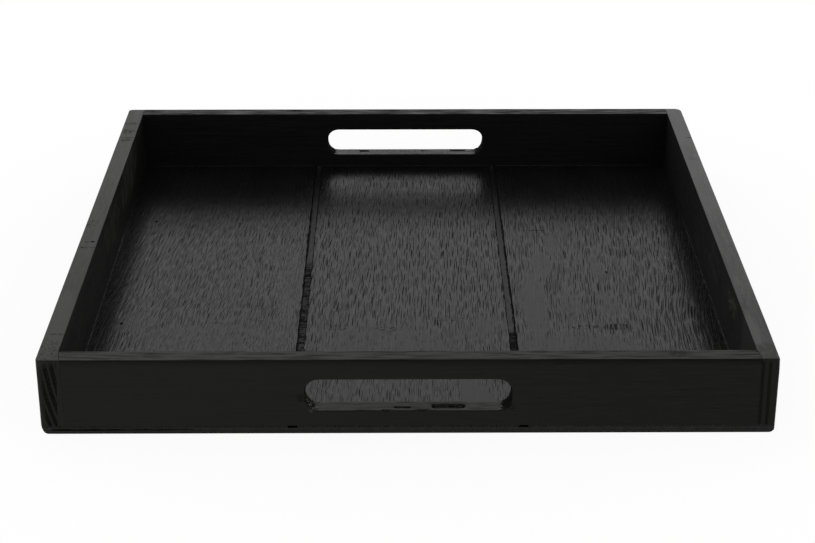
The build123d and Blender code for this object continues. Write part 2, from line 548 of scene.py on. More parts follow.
def planed_timber_tree():
    """Gives a board the faint ripples and raised fibres that a planed and stained surface has."""
    w, given = geometry_tree(
        "Planed timber",
        {
            "Ripple Height": "Float",
            "Ripple Spacing": "Vector",
            "Fibre Height": "Float",
            "Fibre Spacing": "Vector",
            "Seed": "Float",
            "Material": "Material",
        },
    )
    place = w.node("GeometryNodeInputPosition").outputs[0]
    heights = []
    for kind, detail in (("Ripple", 1.0), ("Fibre", 2.0)):
        scaled = w.vector("DIVIDE", place, given[f"{kind} Spacing"])
        heights.append(w.swing(w.noise(scaled, given["Seed"], detail), given[f"{kind} Height"]))
    normal = w.node("GeometryNodeInputNormal").outputs[0]
    offset = w.node(
        "ShaderNodeVectorMath", {0: normal, "Scale": w.total(*heights)}, operation="SCALE"
    ).outputs[0]
    moved = w.node("GeometryNodeSetPosition", {"Geometry": given["Geometry"], "Offset": offset})
    return close_tree(w, moved.outputs[0], given["Material"])


# How far apart the hollows in the planks' relief are, across the grain and along it, in millimetres. They
# are wider than the pores of the material, because the planks' points are about 0.5 mm apart.
RELIEF_STEPS = (1.9, 32)


def pored_veneer_tree():
    """Sinks the open pores into the face of a plank, away from the walls that stand on it."""
    w, given = geometry_tree(
        "Pored veneer",
        {
            "Pore Depth": "Float",
            "Face": "Float",
            "Wall X": "Float",
            "Wall Y": "Float",
            "Material": "Material",
        },
    )
    place = w.node("GeometryNodeInputPosition").outputs[0]
    x, y, z = w.split(place)
    clear_x = w.math("LESS_THAN", w.math("ABSOLUTE", x), given["Wall X"])
    clear_y = w.math("LESS_THAN", w.math("ABSOLUTE", y), given["Wall Y"])
    on_face = w.math("GREATER_THAN", z, w.math("SUBTRACT", given["Face"], 0.05 * MM))
    where = w.product(on_face, w.product(clear_x, clear_y))
    rows = w.noise(w.steps(*zip((veneer_grain(w, place), y), RELIEF_STEPS)), 1.0, 0.0)
    hollow = w.fade(w.total(rows, veneer_patches(w, place)), 0.5, 0.62)
    sunk = w.product(hollow, given["Pore Depth"])
    swell = w.noise(w.steps((x, 25), (y, 90)))
    dip = w.total(sunk, w.product(swell, 0.12 * MM))
    offset = w.join(0.0, 0.0, w.product(w.product(where, dip), -1.0))
    moved = w.node("GeometryNodeSetPosition", {"Geometry": given["Geometry"], "Offset": offset})
    return close_tree(w, moved.outputs[0], given["Material"])


def turned_rows_tree():
    """Turns a piece from a line of radii, and sets it out in a row, or in several rows."""
    w, given = geometry_tree(
        "Turned pieces in rows",
        {
            "Start": "Vector",
            "Step": "Vector",
            "Count": "Int",
            "Row Step": "Vector",
            "Rows": "Int",
            "Turn": "Rotation",
            "Sides": "Int",
            "Material": "Material",
        },
    )
    line = w.node("GeometryNodeMeshToCurve", {"Mesh": given["Geometry"]}).outputs[0]
    radius = w.node("GeometryNodeInputNamedAttribute", {"Name": "radius"}, data_type="FLOAT").outputs[0]
    sized = w.node("GeometryNodeSetCurveRadius", {"Curve": line, "Radius": radius}).outputs[0]
    ring = w.node("GeometryNodeCurvePrimitiveCircle", {"Resolution": given["Sides"], "Radius": 1.0})
    inputs = {"Curve": sized, "Profile Curve": ring.outputs[0], "Scale": radius, "Fill Caps": True}
    turned = w.node("GeometryNodeCurveToMesh", inputs)
    row = w.node(
        "GeometryNodeMeshLine",
        {"Count": given["Count"], "Start Location": (0.0, 0.0, 0.0), "Offset": given["Step"]},
    )
    rows = w.node(
        "GeometryNodeMeshLine",
        {"Count": given["Rows"], "Start Location": given["Start"], "Offset": given["Row Step"]},
    )
    grid = w.node("GeometryNodeInstanceOnPoints", {"Points": rows.outputs[0], "Instance": row.outputs[0]})
    places = w.node("GeometryNodeRealizeInstances", {0: grid.outputs[0]}).outputs[0]
    copies = w.node(
        "GeometryNodeInstanceOnPoints",
        {"Points": places, "Instance": turned.outputs[0], "Rotation": given["Turn"]},
    )
    return close_tree(w, copies.outputs[0], given["Material"])


# Materials

def material(name):
    """An empty material, its wiring, and the object's own coordinates."""
    made = bpy.data.materials.new(name)
    made.use_nodes = True
    made.node_tree.nodes.clear()
    w = Wiring(made.node_tree)
    return made, w, w.node("ShaderNodeTexCoord").outputs["Object"]


def stained_surface(w, finish, index, tone, roughness, height, openness, warmth=1.0, rubbed=0.0):
    """Ends a material: thin finish over stain, with bare dull wood where the grain is open.

    The warmth is the blue share of what the finish reflects straight on. Where the stain is rubbed,
    the brown wood shows through it.
    """
    # The openness carries painted shade as well as open grain, where a material paints shade into it
    bump = w.node("ShaderNodeBump", {"Strength": 1.0, "Distance": 1.0, "Height": height}).outputs[0]
    dark = tuple(0.6 * channel for channel in finish.stain)
    light = tuple(1.4 * channel for channel in finish.stain)
    sealed = w.node(
        "ShaderNodeBsdfPrincipled",
        {
            "Base Color": w.colour(rubbed, w.colour(tone, dark, light), finish.rubbed_wood),
            "Roughness": roughness,
            "IOR": index,
            "Specular Tint": (1.0, 1.0, warmth, 1.0),
            "Normal": bump,
        },
    )
    opened = w.node(
        "ShaderNodeBsdfPrincipled",
        {
            "Base Color": (*finish.open_pore, 1.0),
            "Roughness": 1.0,
            "Specular IOR Level": 0.08,
            "Normal": bump,
        },
    )
    both = w.node("ShaderNodeMixShader", {0: openness, 1: sealed.outputs[0], 2: opened.outputs[0]})
    w.node("ShaderNodeOutputMaterial", {"Surface": both.outputs[0]})


# What the boards share, with lengths in millimetres. Dull values go from 0, all finish, to 1, all bare, and
# below 0 only strong marks are bare. The one for the sills is under the slots. The one for the top is
# painted shade: a darker band added at the top of the outside, just under the rim. Saw marks are on the
# rim, and cloudy ones on the inner face. End turn is how far a surface turns to the board's end before its
# end grain shows. Rings are their first line, its lean and bend down the board, their pitch and the dark
# share of it. Rubbed, glossy and other spots are tables for worn_spots.
PLAIN_BOARD = {
    "warmth": 1.0, "dull_sill": 0.0, "dull_top": 0.2, "saw": 0.0, "cloudy": 0.0, "rubbed": (), "glossy": (),
    "end_turn": (0.2, 0.35), "rings": (0.0, 0.0, 0.0, 2.0, 0.8), "ring_dark": 0.06,
}
SIDE_BOARD = {**PLAIN_BOARD, "cloudy": 0.6, "end_turn": (0.6, 0.8)}

# What sets each board apart: the refractive index of its finish, the marks above, how blotched its rim is,
# and how dull its face, rim and ends are. The indices and the face and rim values are set to how bright each
# board looks, so besides the finish's own dullness they hold painted light and shade: the boards are lit and
# shaded copies of one finish. A pair of dull values is for the board's two ends, the left or the front one
# first, and where they differ they paint a gradient of light and shade along the board.
BOARD_LOOKS = {
    "left": {
        **SIDE_BOARD, "index": 1.3, "warmth": 0.92, "dull_face": (0.22, 0.22), "dull_rim": (0.14, 0.08),
        "blotch": 0.16, "saw": 0.18, "rubbed": (
            ((-189, 105, 31), (3, 46, 16), 0.22, (2, 1.8, 24), 0.36),
            ((-189, 20, 30), (3, 40, 14), 0.08, (2, 5, 9), 0.45),
        ),
        "glossy": (((-195, -158, 45), (12, 49, 9), 1.0),),
        "end_dull": 0.26, "rings": (-193.3, 0.1, 0.003, 3.6, 0.6), "ring_dark": 0.78,
        "spots": (
            ((-194.7, 170, 45), (5.5, 2.6, 3), 0.55, (3, 1, 3), 0.6),
            ((-195, 154, 45), (5, 4.5, 3), 0.85, (1.8, 1.2, 3), 0.48),
            ((-194.5, 141.5, 45), (5, 1.0, 3), 0.8, (3, 1, 3), 0.7),
            ((-194.3, 136.5, 45), (4, 2.8, 3), 0.8, (1.8, 1.4, 3), 0.5),
            ((-196, -12, 45), (4.5, 8, 3), 0.45, (2, 3, 3), 0.4),
            ((-192, -40.5, 45), (1.5, 1.3, 3), 1.0),
            ((-195.6, -41, 45), (2.6, 0.9, 3), 0.8, (1.5, 0.8, 3), 0.6),
            ((-196.5, -49, 45), (2.8, 1.0, 3), 0.8, (1.5, 0.8, 3), 0.6),
            ((-191.3, -49, 45), (2.6, 0.9, 3), 0.6, (1.5, 0.8, 3), 0.6),
            ((-194.5, -105, 45), (9, 5, 3), 0.16, (4, 2, 3), 0.7),
            ((-193, -168, 45), (5, 1.2, 3), 0.5, (2, 1, 3), 0.6),
            ((-194, -188, 45), (8, 15, 5), 0.5, (1.4, 0.8, 1.2), 0.3),
        ),
    },
    "right": {
        **SIDE_BOARD, "index": 1.43, "warmth": 0.97, "dull_face": (0.49, 0.81), "dull_rim": (0.25, -0.08),
        "blotch": 0.14, "saw": 0.14, "rubbed": (
            ((189, -108, 35), (3, 20, 8), 0.35, (2, 6, 2.5), 0.42),
            ((189, -45, 30), (3, 30, 10), 0.12, (2, 9, 3), 0.45),
        ),
        "glossy": (((189, -167, 26), (6, 27, 60), 0.8),),
        "end_dull": 0.7, "rings": (189.5, 0.01, 0.0, 3.8, 0.4), "ring_dark": 0.24,
        "spots": (
            ((197.9, 139.7, 45), (2.2, 0.7, 3), 0.75),
            ((194.7, 97.5, 45), (5.5, 0.7, 3), 0.35, (2, 1, 3), 0.8),
            ((194, 110, 45), (5, 16, 3), 0.1, (4, 6, 3), 0.6),
            ((194.5, -90, 45), (5, 0.8, 3), 0.2, (2, 1, 3), 0.7),
            ((194.5, -40, 45), (4, 1.0, 3), 0.25, (1.6, 1, 3), 0.5),
            ((194.5, -193, 45), (9, 16, 4), 0.42, (3, 5, 3), 0.9),
            ((191, -199.9, 22), (1.2, 1, 14), 0.8, (0.8, 1, 1.4), 0.5),
            ((194.6, -199.9, 15), (2, 1, 10), 0.85, (1, 1, 1.6), 0.5),
        ),
    },
    "front": {
        **PLAIN_BOARD, "index": 1.25, "warmth": 0.87, "dull_face": (0.05, 0.26), "dull_rim": (0.15, 0.2),
        "dull_sill": 0.12, "dull_top": 0.4, "blotch": 1.6, "end_dull": 0.94,
        "rubbed": (((-52.5, -197, 18), (5, 4, 6), 0.7, (0.6, 1.2, 0.6), 0.3),),
        "glossy": (((-53.5, -194.5, 18.5), (7, 9, 8), 1.0, (0.8, 1.6, 0.8), 0.48),),
        "spots": (
            ((146, -193.5, 45), (7, 4.5, 3), 0.85, (1.5, 0.8, 1.5), 0.42),
            ((-184, -194, 45), (6, 6, 4), 0.4, (1.4, 0.8, 1.5), 0.3),
            ((-140, -196, 45), (24, 2, 3), 0.3, (9, 0.8, 2), 0.4),
            ((20, -198.5, 45), (40, 1.2, 3), 0.3, (12, 0.7, 2), 0.4),
            ((189.8, -195.4, 45), (0.7, 0.6, 3), 1.0),
            ((190.3, -199.6, 43), (0.8, 0.8, 2.2), 1.0),
            ((188.6, -191.2, 45), (0.6, 0.9, 3), 1.0),
            ((-58.4, -199.8, 22), (2.4, 3, 3.2), 0.45),
            ((55, -194, 18), (5, 8, 7), 0.9, (1.2, 2.5, 1.2), 0.75),
            ((0, -194, 14), (52, 7, 1), 0.3, (8, 0.6, 3), 0.36),
        ),
    },
    "back": {
        **PLAIN_BOARD, "index": 1.39, "dull_face": (0.69, 0.69), "dull_rim": (0.55, 0.55), "blotch": 1.5,
        "end_dull": 0.967, "spots": (
            ((-158, 195, 45), (20, 4, 3), 0.5, (7, 1, 2), 0.5),
            ((-184, 197, 45), (2, 2, 3), 0.8, (1, 1, 1), 0.6),
            ((0, 194.5, 14), (54, 8, 1.5), 0.45, (2.2, 1.3, 3), 0.36),
        ),
    },
}


# Patterns in a board's wood: size across, along and up in millimetres, then detail and roughness
BOARD_PATTERNS = {
    "fibre": ((0.45, 15, 0.55), 2.0, 0.6),
    "streak": ((1.6, 60, 1.8), 2.0, 0.5),
    "cloud": ((8, 30, 11), 2.0, 0.5),
    "blotch": ((2.2, 22, 2.5), 3.0, 0.6),
    "saw": ((24, 1.2, 24), 2.0, 0.5),
    "speck": ((0.55, 0.55, 0.7), 2.0, 0.6),
    "grit": ((0.8, 0.8, 1.0), 2.0, 0.5),
}


# How far under the rim the rings have the first line that their table gives
RING_LEVEL = 2.3 * MM


def growth_rings(w, rings, top, outside, side, up, cloud, speck):
    """The dark late wood of a board's end grain, and how much of it shows at a place, both 0 to 1."""
    first, lean, bend, pitch, dark_share = rings
    down = w.math("SUBTRACT", top - RING_LEVEL, up)
    drift = w.product(down, w.math("MULTIPLY_ADD", down, bend / MM, lean))
    ring_place = w.total(side, w.product(drift, -1.0), w.swing(cloud, 0.6 * MM), -first * MM)
    phase = w.math("FRACT", w.math("DIVIDE", ring_place, pitch * MM))
    late = w.product(
        w.fade(phase, 0.06, 0.2), w.fade(phase, 0.1 + dark_share, 0.28 + dark_share, 1.0, 0.0)
    )
    # The rings are faint along the worn outside and the rim, and stop short of the next board
    from_outside = w.math("ABSOLUTE", w.math("SUBTRACT", side, outside))
    furthest = w.math("MULTIPLY_ADD", down, -0.055, 11.4 * MM)
    shown = w.product(
        w.fade(w.total(from_outside, w.swing(speck, 1.2 * MM)), 2.2 * MM, 3.6 * MM, 0.12, 1.0),
        w.fade(up, top - 2.6 * MM, top - 1.4 * MM, 1.0, 0.2),
        w.math("LESS_THAN", from_outside, furthest),
    )
    return late, shown


def board_material(name, finish, along, low, high, look, seed):
    """Stained board: grain along one axis, growth rings across its ends, and its own worn spots."""
    made, w, place = material(name)
    parts = w.split(place)
    across = X + Y - along
    far, side, up = parts[along], parts[across], parts[Z]
    facing = w.split(w.node("ShaderNodeTexCoord").outputs["Normal"])
    middle = (low[across] + high[across]) / 2
    on_rim = w.fade(facing[Z], 0.5, 0.9)
    at_end = w.fade(w.math("ABSOLUTE", facing[along]), *look["end_turn"])
    on_sill = w.product(on_rim, w.math("LESS_THAN", up, high[Z] - 4 * MM))
    inwards = w.fade(w.product(facing[across], -math.copysign(1.0, middle)), 0.5, 0.9)

    fibre, streak, cloud, blotch, saw, speck, grit = (
        w.noise(w.steps(*zip((side, far, up), sizes)), seed + number, detail, rough)
        for number, (sizes, detail, rough) in enumerate(BOARD_PATTERNS.values())
    )

    share = w.fade(far, low[along], high[along])
    # Face and rim values: the finish's dullness with painted light and shade, changing from one end to the
    # other
    dull_and_shade = w.blend(on_rim, w.blend(share, *look["dull_face"]), w.blend(share, *look["dull_rim"]))
    dull_and_shade = w.blend(on_sill, dull_and_shade, look["dull_sill"])
    near_top = w.fade(up, high[Z] - 6 * MM, high[Z] - 0.3 * MM)
    on_outside = w.math("SUBTRACT", 1.0, w.most(on_rim, inwards))
    lines = w.total(w.swing(fibre, 1.6), w.swing(streak, 2.4))
    # Wear and dullness, with the painted light and shade of the face and rim values and the painted top band
    worn = w.total(
        dull_and_shade,
        w.product(lines, w.math("MINIMUM", dull_and_shade, 0.3)),
        w.swing(fibre, 0.25),
        w.product(inwards, look["cloudy"], w.swing(cloud, 1.0)),
        w.product(on_rim, look["blotch"], w.swing(blotch, 2.0)),
        w.product(on_rim, look["saw"], w.swing(saw, 2.0)),
        # Painted shade: a darker band at the top of the outside, just under the rim
        w.product(near_top, near_top, on_outside, look["dull_top"]),
    )
    kept = w.math("SUBTRACT", 1.0, worn_spots(w, place, look["glossy"]))
    face_open = w.most(w.product(worn, kept), worn_spots(w, place, look["spots"]))

    outside = low[across] if middle < 0 else high[across]
    late, shown = growth_rings(w, look["rings"], high[Z], outside, side, up, cloud, speck)
    mottled = w.fade(grit, 0.36, 0.62, 0.5, 1.0)
    end_open = w.total(look["end_dull"], w.product(late, shown, mottled, look["ring_dark"]))
    openness = w.blend(at_end, face_open, w.product(end_open, kept))
    roughness = w.total(
        finish.board_roughness,
        w.swing(fibre, 0.2),
        w.swing(cloud, 0.14),
        w.product(at_end, 0.1),
        w.product(inwards, 0.22),
    )
    height = w.total(
        w.product(fibre, 0.02 * MM),
        w.product(streak, 0.03 * MM),
        w.product(saw, look["saw"], 0.05 * MM),
        w.product(at_end, late, mottled, -0.12 * MM),
    )
    tone = w.fade(streak, 0.3, 0.7)
    rubbed = worn_spots(w, place, look["rubbed"])
    stained_surface(w, finish, look["index"], tone, roughness, height, openness, look["warmth"], rubbed)
    return made


# Refractive indices of the finish on the planks, the core ply, the back ply and the filler
PLANK_INDEX = 1.365
CORE_INDEX = 1.3
BACK_INDEX = 1.275
FILLER_INDEX = 1.26

# What sets each plank apart: width, length and bareness of its pores, and worn spots
PLANK_LOOKS = {
    "left": {
        "pore_width": 0.35, "pore_length": 11, "pore": 0.95,
        "spots": (
            ((-169.6, 85.7, 5), (1.3, 1.9, 3), 1.0),
            ((-172.7, -72.6, 5), (1.2, 2.0, 3), 1.0),
            ((-112, -72, 5), (10, 0.9, 3), 0.6, (1.2, 1, 3), 0.45),
        ),
    },
    "middle": {
        "pore_width": 0.5, "pore_length": 14, "pore": 0.97,
        "spots": (
            ((-44, -80, 5), (9, 6, 3), 0.7, (1.1, 1.8, 3), 0.2),
            ((-12, -80, 5), (10, 5, 3), 0.7, (1.1, 1.8, 3), 0.2),
            ((28, -66, 5), (16, 5, 3), 0.7, (1.1, 1.8, 3), 0.15),
        ),
    },
    "right": {
        "pore_width": 0.49, "pore_length": 15, "pore": 0.92,
        "spots": (
            ((125, -78.5, 5), (14, 4.6, 3), 0.8, (0.75, 14, 3), 0.42),
            ((103, -78.5, 5), (13, 3.0, 3), 0.8, (0.9, 3, 3), 0.26),
            ((128, 1, 5), (1.4, 2.4, 3), 0.8),
            ((88.5, 69.3, 5), (6.5, 1.1, 3), 0.75, (3, 1, 3), 0.8),
            ((76, 82, 5), (2.6, 4, 3), 0.4, (1, 2, 3), 0.7),
        ),
    },
}


# Painted shade on the planks, in millimetres from the tray's middle: from, to, and how much duller they are
# drawn there. It darkens them towards the back board and the side walls, for the walls' dark reflections in
# them. The back corners have one line for the way back, and one for both ways sideways.
PAINTED_SHADE_TO_BACK = (70, 130, 0.15)
PAINTED_SHADE_TO_BACK_CORNERS = ((50, 90), (70, 150, 0.22))
PAINTED_SHADE_AT_WALLS = (168, 186, 0.4)


def painted_shade(w, distance, start, stop, amount=1.0):
    """How much duller and darker painted shade draws the planks: nothing up to the start, and the whole
    amount from the stop on.
    """
    return w.fade(distance, start * MM, stop * MM, 0.0, amount)


def plank_material(name, finish, look):
    """The face ply: open pores along the grain under a thin finish."""
    made, w, place = material(name)
    across = veneer_grain(w, place)
    x, y, z = w.split(place)
    patches = veneer_patches(w, place)
    pores, lips = veneer_pores(w, across, y, patches, look["pore_width"], look["pore_length"])
    fibre = w.noise(w.steps((across, 0.7), (y, 40), (z, 0.8)), 4.0, 1.0, 0.4)
    cloud = w.noise(w.steps((x, 22), (y, 60)), 5.0, 2.0)
    plainness = w.fade(patches, -0.19, -0.03, 0.15, 1.0)
    on_face = w.fade(w.split(w.node("ShaderNodeTexCoord").outputs["Normal"])[2], 0.3, 0.7)
    from_middle = w.math("ABSOLUTE", x)
    backwards, sideways = PAINTED_SHADE_TO_BACK_CORNERS
    # Painted shade towards the back board and the side walls, for their dark reflections in the planks
    shade_by_place = w.total(
        painted_shade(w, y, *PAINTED_SHADE_TO_BACK),
        w.product(painted_shade(w, y, *backwards), painted_shade(w, from_middle, *sideways)),
        painted_shade(w, from_middle, *PAINTED_SHADE_AT_WALLS),
    )
    dull_and_shade = w.total(
        w.blend(on_face, 0.64, 0.19), w.product(on_face, shade_by_place), w.swing(cloud, 0.12),
        w.product(plainness, w.swing(fibre, 0.8)), w.product(lips, plainness, -0.22),
    )
    opened = w.most(dull_and_shade, w.product(pores, look["pore"]), worn_spots(w, place, look["spots"]))
    roughness = w.total(finish.plank_roughness, w.swing(fibre, 0.16), w.swing(cloud, 0.08))
    height = w.total(w.product(plainness, fibre, 0.03 * MM), w.product(pores, -0.04 * MM))
    stained_surface(w, finish, PLANK_INDEX, w.fade(cloud, 0.3, 0.7), roughness, height, opened)
    return made


# Along each groove, from the back: where its floor starts to be torn and how gradually, and the dark
# stretches after that, each with its middle and reach along Y, in millimetres.
TORN_FROM = {"left": 18.0, "right": -83.0}
TORN_OVER = {"left": 9.0, "right": 1.5}
TORN_DARK = {
    "left": ((-8, 12), (-50, 7), (-71, 13), (-150, 30)),
    "right": ((-100, 20), (-150, 40)),
}


def core_material(name, finish, groove_low, groove_high):
    """The core ply: its grain runs across, and it is torn in the front part of the grooves."""
    made, w, place = material(name)
    x, y, z = w.split(place)
    facing = w.split(w.node("ShaderNodeTexCoord").outputs["Normal"])
    on_face = w.fade(facing[2], 0.3, 0.6)
    hatch = w.noise(w.steps((x, 9), (y, 1.6), (z, 1.0)), 1.0, 1.0, 0.5)
    skew = w.product(x, 0.8)
    cross = w.noise(w.steps((w.math("SUBTRACT", x, y), 5), (w.total(y, skew), 1.6)), 2.0)
    patch = w.noise(w.steps((x, 3), (y, 9)), 3.0, 2.0)
    from_middle = w.math("ABSOLUTE", w.total(w.math("ABSOLUTE", x), w.swing(patch, 0.5 * MM)))
    # Dark lines along each groove's edges: the open wood of the saw's cuts, and painted shade where the
    # groove's walls shade its floor
    outer_edge = w.fade(from_middle, groove_high - 1.0 * MM, groove_high - 0.55 * MM)
    inner_edge = w.fade(from_middle, groove_low + 0.35 * MM, groove_low + 0.7 * MM, 1.0, 0.0)
    edges = w.product(w.most(outer_edge, inner_edge), on_face, 0.95)
    on_right = w.math("GREATER_THAN", x, 0.0)
    start = w.blend(on_right, TORN_FROM["left"] * MM, TORN_FROM["right"] * MM)
    ragged = w.math("SUBTRACT", y, w.swing(patch, 8 * MM))
    over = w.blend(on_right, TORN_OVER["left"] * MM, TORN_OVER["right"] * MM)
    gradual = w.fade(ragged, w.math("SUBTRACT", start, over), w.total(start, over), 1.0, 0.0)
    torn = w.product(gradual, on_face)
    dark = {}
    for side, stretches in TORN_DARK.items():
        found = [
            w.fade(
                w.math("ABSOLUTE", w.math("SUBTRACT", ragged, middle * MM)),
                0.6 * reach * MM, 1.05 * reach * MM, 1.0, 0.0,
            )
            for middle, reach in stretches
        ]
        dark[side] = w.most(*found)
    dark_here = w.blend(on_right, dark["left"], dark["right"])
    lines = w.fade(w.total(w.product(hatch, 0.7), w.product(cross, 0.3)), 0.45, 0.53)
    bare = w.total(w.product(dark_here, w.blend(on_right, 0.3, 0.6)), w.blend(lines, 0.1, 0.9))
    torn_open = w.product(torn, w.math("MINIMUM", bare, 0.97))
    whole_open = w.total(0.2, w.swing(patch, 0.8))
    openness = w.most(torn_open, whole_open, edges)
    height = w.product(hatch, w.blend(torn, 0.03 * MM, 0.16 * MM))
    roughness = w.blend(torn, 0.36, 0.5)
    stained_surface(w, finish, CORE_INDEX, lines, roughness, height, openness)
    return made


def back_material(name, finish):
    """The back ply: plain stain on long grain, with a few open streaks."""
    made, w, place = material(name)
    x, y, z = w.split(place)
    fibre = w.noise(w.steps((x, 0.6), (y, 20), (z, 0.5)), 6.0, 2.0, 0.6)
    streak = w.noise(w.steps((x, 6), (y, 200), (z, 4)), 7.0, 2.0)
    pores = w.fade(w.noise(w.steps((x, 1.1), (y, 18)), 8.0), 0.56, 0.66)
    opened = w.total(
        0.15, w.swing(fibre, 0.4), w.swing(streak, 0.5), w.product(pores, w.fade(streak, 0.3, 0.7, 0.7, 0.3))
    )
    height = w.total(w.product(fibre, 0.03 * MM), w.product(pores, -0.08 * MM))
    roughness = w.fade(fibre, 0.3, 0.7, 0.4, 0.56)
    tone = w.fade(streak, 0.3, 0.7)
    stained_surface(w, finish, BACK_INDEX, tone, roughness, height, opened, warmth=0.88)
    return made


def steel_material(name, finish):
    """Brad steel with stain wiped over it."""
    made, w, place = material(name)
    scuff = w.fade(w.noise(w.vector("DIVIDE", place, (0.4 * MM,) * 3), 1.0, 3.0), 0.4, 0.65)
    shader = w.node(
        "ShaderNodeBsdfPrincipled",
        {
            "Base Color": w.colour(scuff, tuple(2.0 * channel for channel in finish.stain), finish.steel),
            "Metallic": scuff,
            "Roughness": w.blend(scuff, 0.34, 0.55),
        },
    )
    w.node("ShaderNodeOutputMaterial", {"Surface": shader.outputs[0]})
    return made


def filler_material(name, finish):
    """Filler over the brads: a little duller and grainier than the wood round it."""
    made, w, place = material(name)
    grit = w.fade(w.noise(w.vector("DIVIDE", place, (0.3 * MM,) * 3), 3.0, 3.0), 0.3, 0.7)
    roughness = w.blend(grit, 0.45, 0.65)
    height, opened = w.product(grit, 0.04 * MM), w.blend(grit, 0.0, 0.5)
    stained_surface(w, finish, FILLER_INDEX, grit, roughness, height, opened)
    return made


def known(name, maker, *given):
    """A material by its name, made the first time that it is asked for."""
    return bpy.data.materials.get(name) or maker(name, *given)


# Finishing a piece

known_trees = {}


def known_tree(maker):
    """A geometry tree, made the first time that it is asked for."""
    key = maker.__name__
    if key not in known_trees:
        known_trees[key] = maker()
    return known_trees[key]


def finish_piece(piece, slot, *nodes, sharp=35):
    """Shades a piece, makes it ride on the tray and lets it stand for its CAD nodes."""
    piece.data.shade_smooth()
    piece.data.set_sharp_from_angle(angle=math.radians(sharp))
    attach(piece, BODY)
    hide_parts(*nodes)


def pull_inside(piece):
    """Keeps a piece's relief inside the tray's own box."""
    points = points_of(piece)
    move_points(piece, np.clip(points, np.array(cad_low), np.array(cad_high)))


# A planed board's ripples and raised fibres, in millimetres: height, and size across, along and up
RIPPLE = (0.1, (8, 45, 10))
FIBRE = (0.05, (1.2, 14, 3))


def finish_board(board, name, along, seed, stain):
    """Gives a board its relief and its stain, with its grain along one axis, and finishes it."""
    relief = {}
    for kind, (height, spacing) in (("ripple", RIPPLE), ("fibre", FIBRE)):
        across, far, up = (size * MM for size in spacing)
        relief[f"{kind}_height"] = height * MM
        relief[f"{kind}_spacing"] = (across, far, up) if along == Y else (far, across, up)
    run_tree(board, known_tree(planed_timber_tree), **relief, seed=seed, material=stain)
    pull_inside(board)
    finish_piece(board, "board_wood", name)


def joint_shift(points, thickness):
    """How far the line between a side board and the front board strays to the right, at each point."""
    depth = cad_low.y + thickness - points[:, Y]
    furthest = np.where(points[:, X] < 0, 2.0, 1.2) * MM
    return furthest * np.clip(depth / thickness, 0, 1)


# Radius in millimetres of the tray's four corners, seen from above, by their side along X and along Y
CORNER_ROUNDS = {(-1, -1): 2.0, (1, -1): 1.6, (-1, 1): 3.2, (1, 1): 5.1}


def round_corners(points, low, high, side):
    """Rounds a piece's two corners on one side of the tray."""
    for end in (-1, 1):
        ease(points, low, high, (X, side), (Y, end), CORNER_ROUNDS[side, end] * MM)


# Steps between points: through a board, and along and up it
CLOSE_STEP = 0.6 * MM
LONG_STEP = 2 * MM

# Shares of the rim's round at which its sheets have closer points
RIM_SHARES = np.array([0.2, 0.45, 0.7, 0.88, 1.0, 1.1])

# Steps with closer points: from a side board's end, from a joint, from a plank's outer corner and its
# sawn edge, and from a groove's edges and the outer corner in the core. Those of the bead along a wall
# are shares of its radius.
BOARD_END_STEPS = np.arange(0.25, 6.0, 0.35) * MM
JOINT_STEPS = np.array([0.05, 0.1, 0.15]) * MM
PLANK_CORNER_STEPS = np.array([0.25, 0.5, 0.8, 1.2, 1.7, 2.3, 3.2, 5.2, 8.0]) * MM
SAWN_EDGE_STEPS = np.array([0.06, 0.13, 0.2]) * MM
GROOVE_EDGE_STEPS = np.array([0.25, 0.5, 0.7, 0.9, 1.15, 1.4]) * MM
CORE_CORNER_STEPS = np.array([0.5, 1, 2]) * MM
BEAD_SHARES = np.array([0.12, 0.3, 0.5, 0.75, 1.0])


# Operators

# Radius of each side board's rim outside, and how far it leans in at its front end, in millimetres
SIDE_RIMS = {"left": (0.35, 0.0), "right": (0.7, 0.3)}


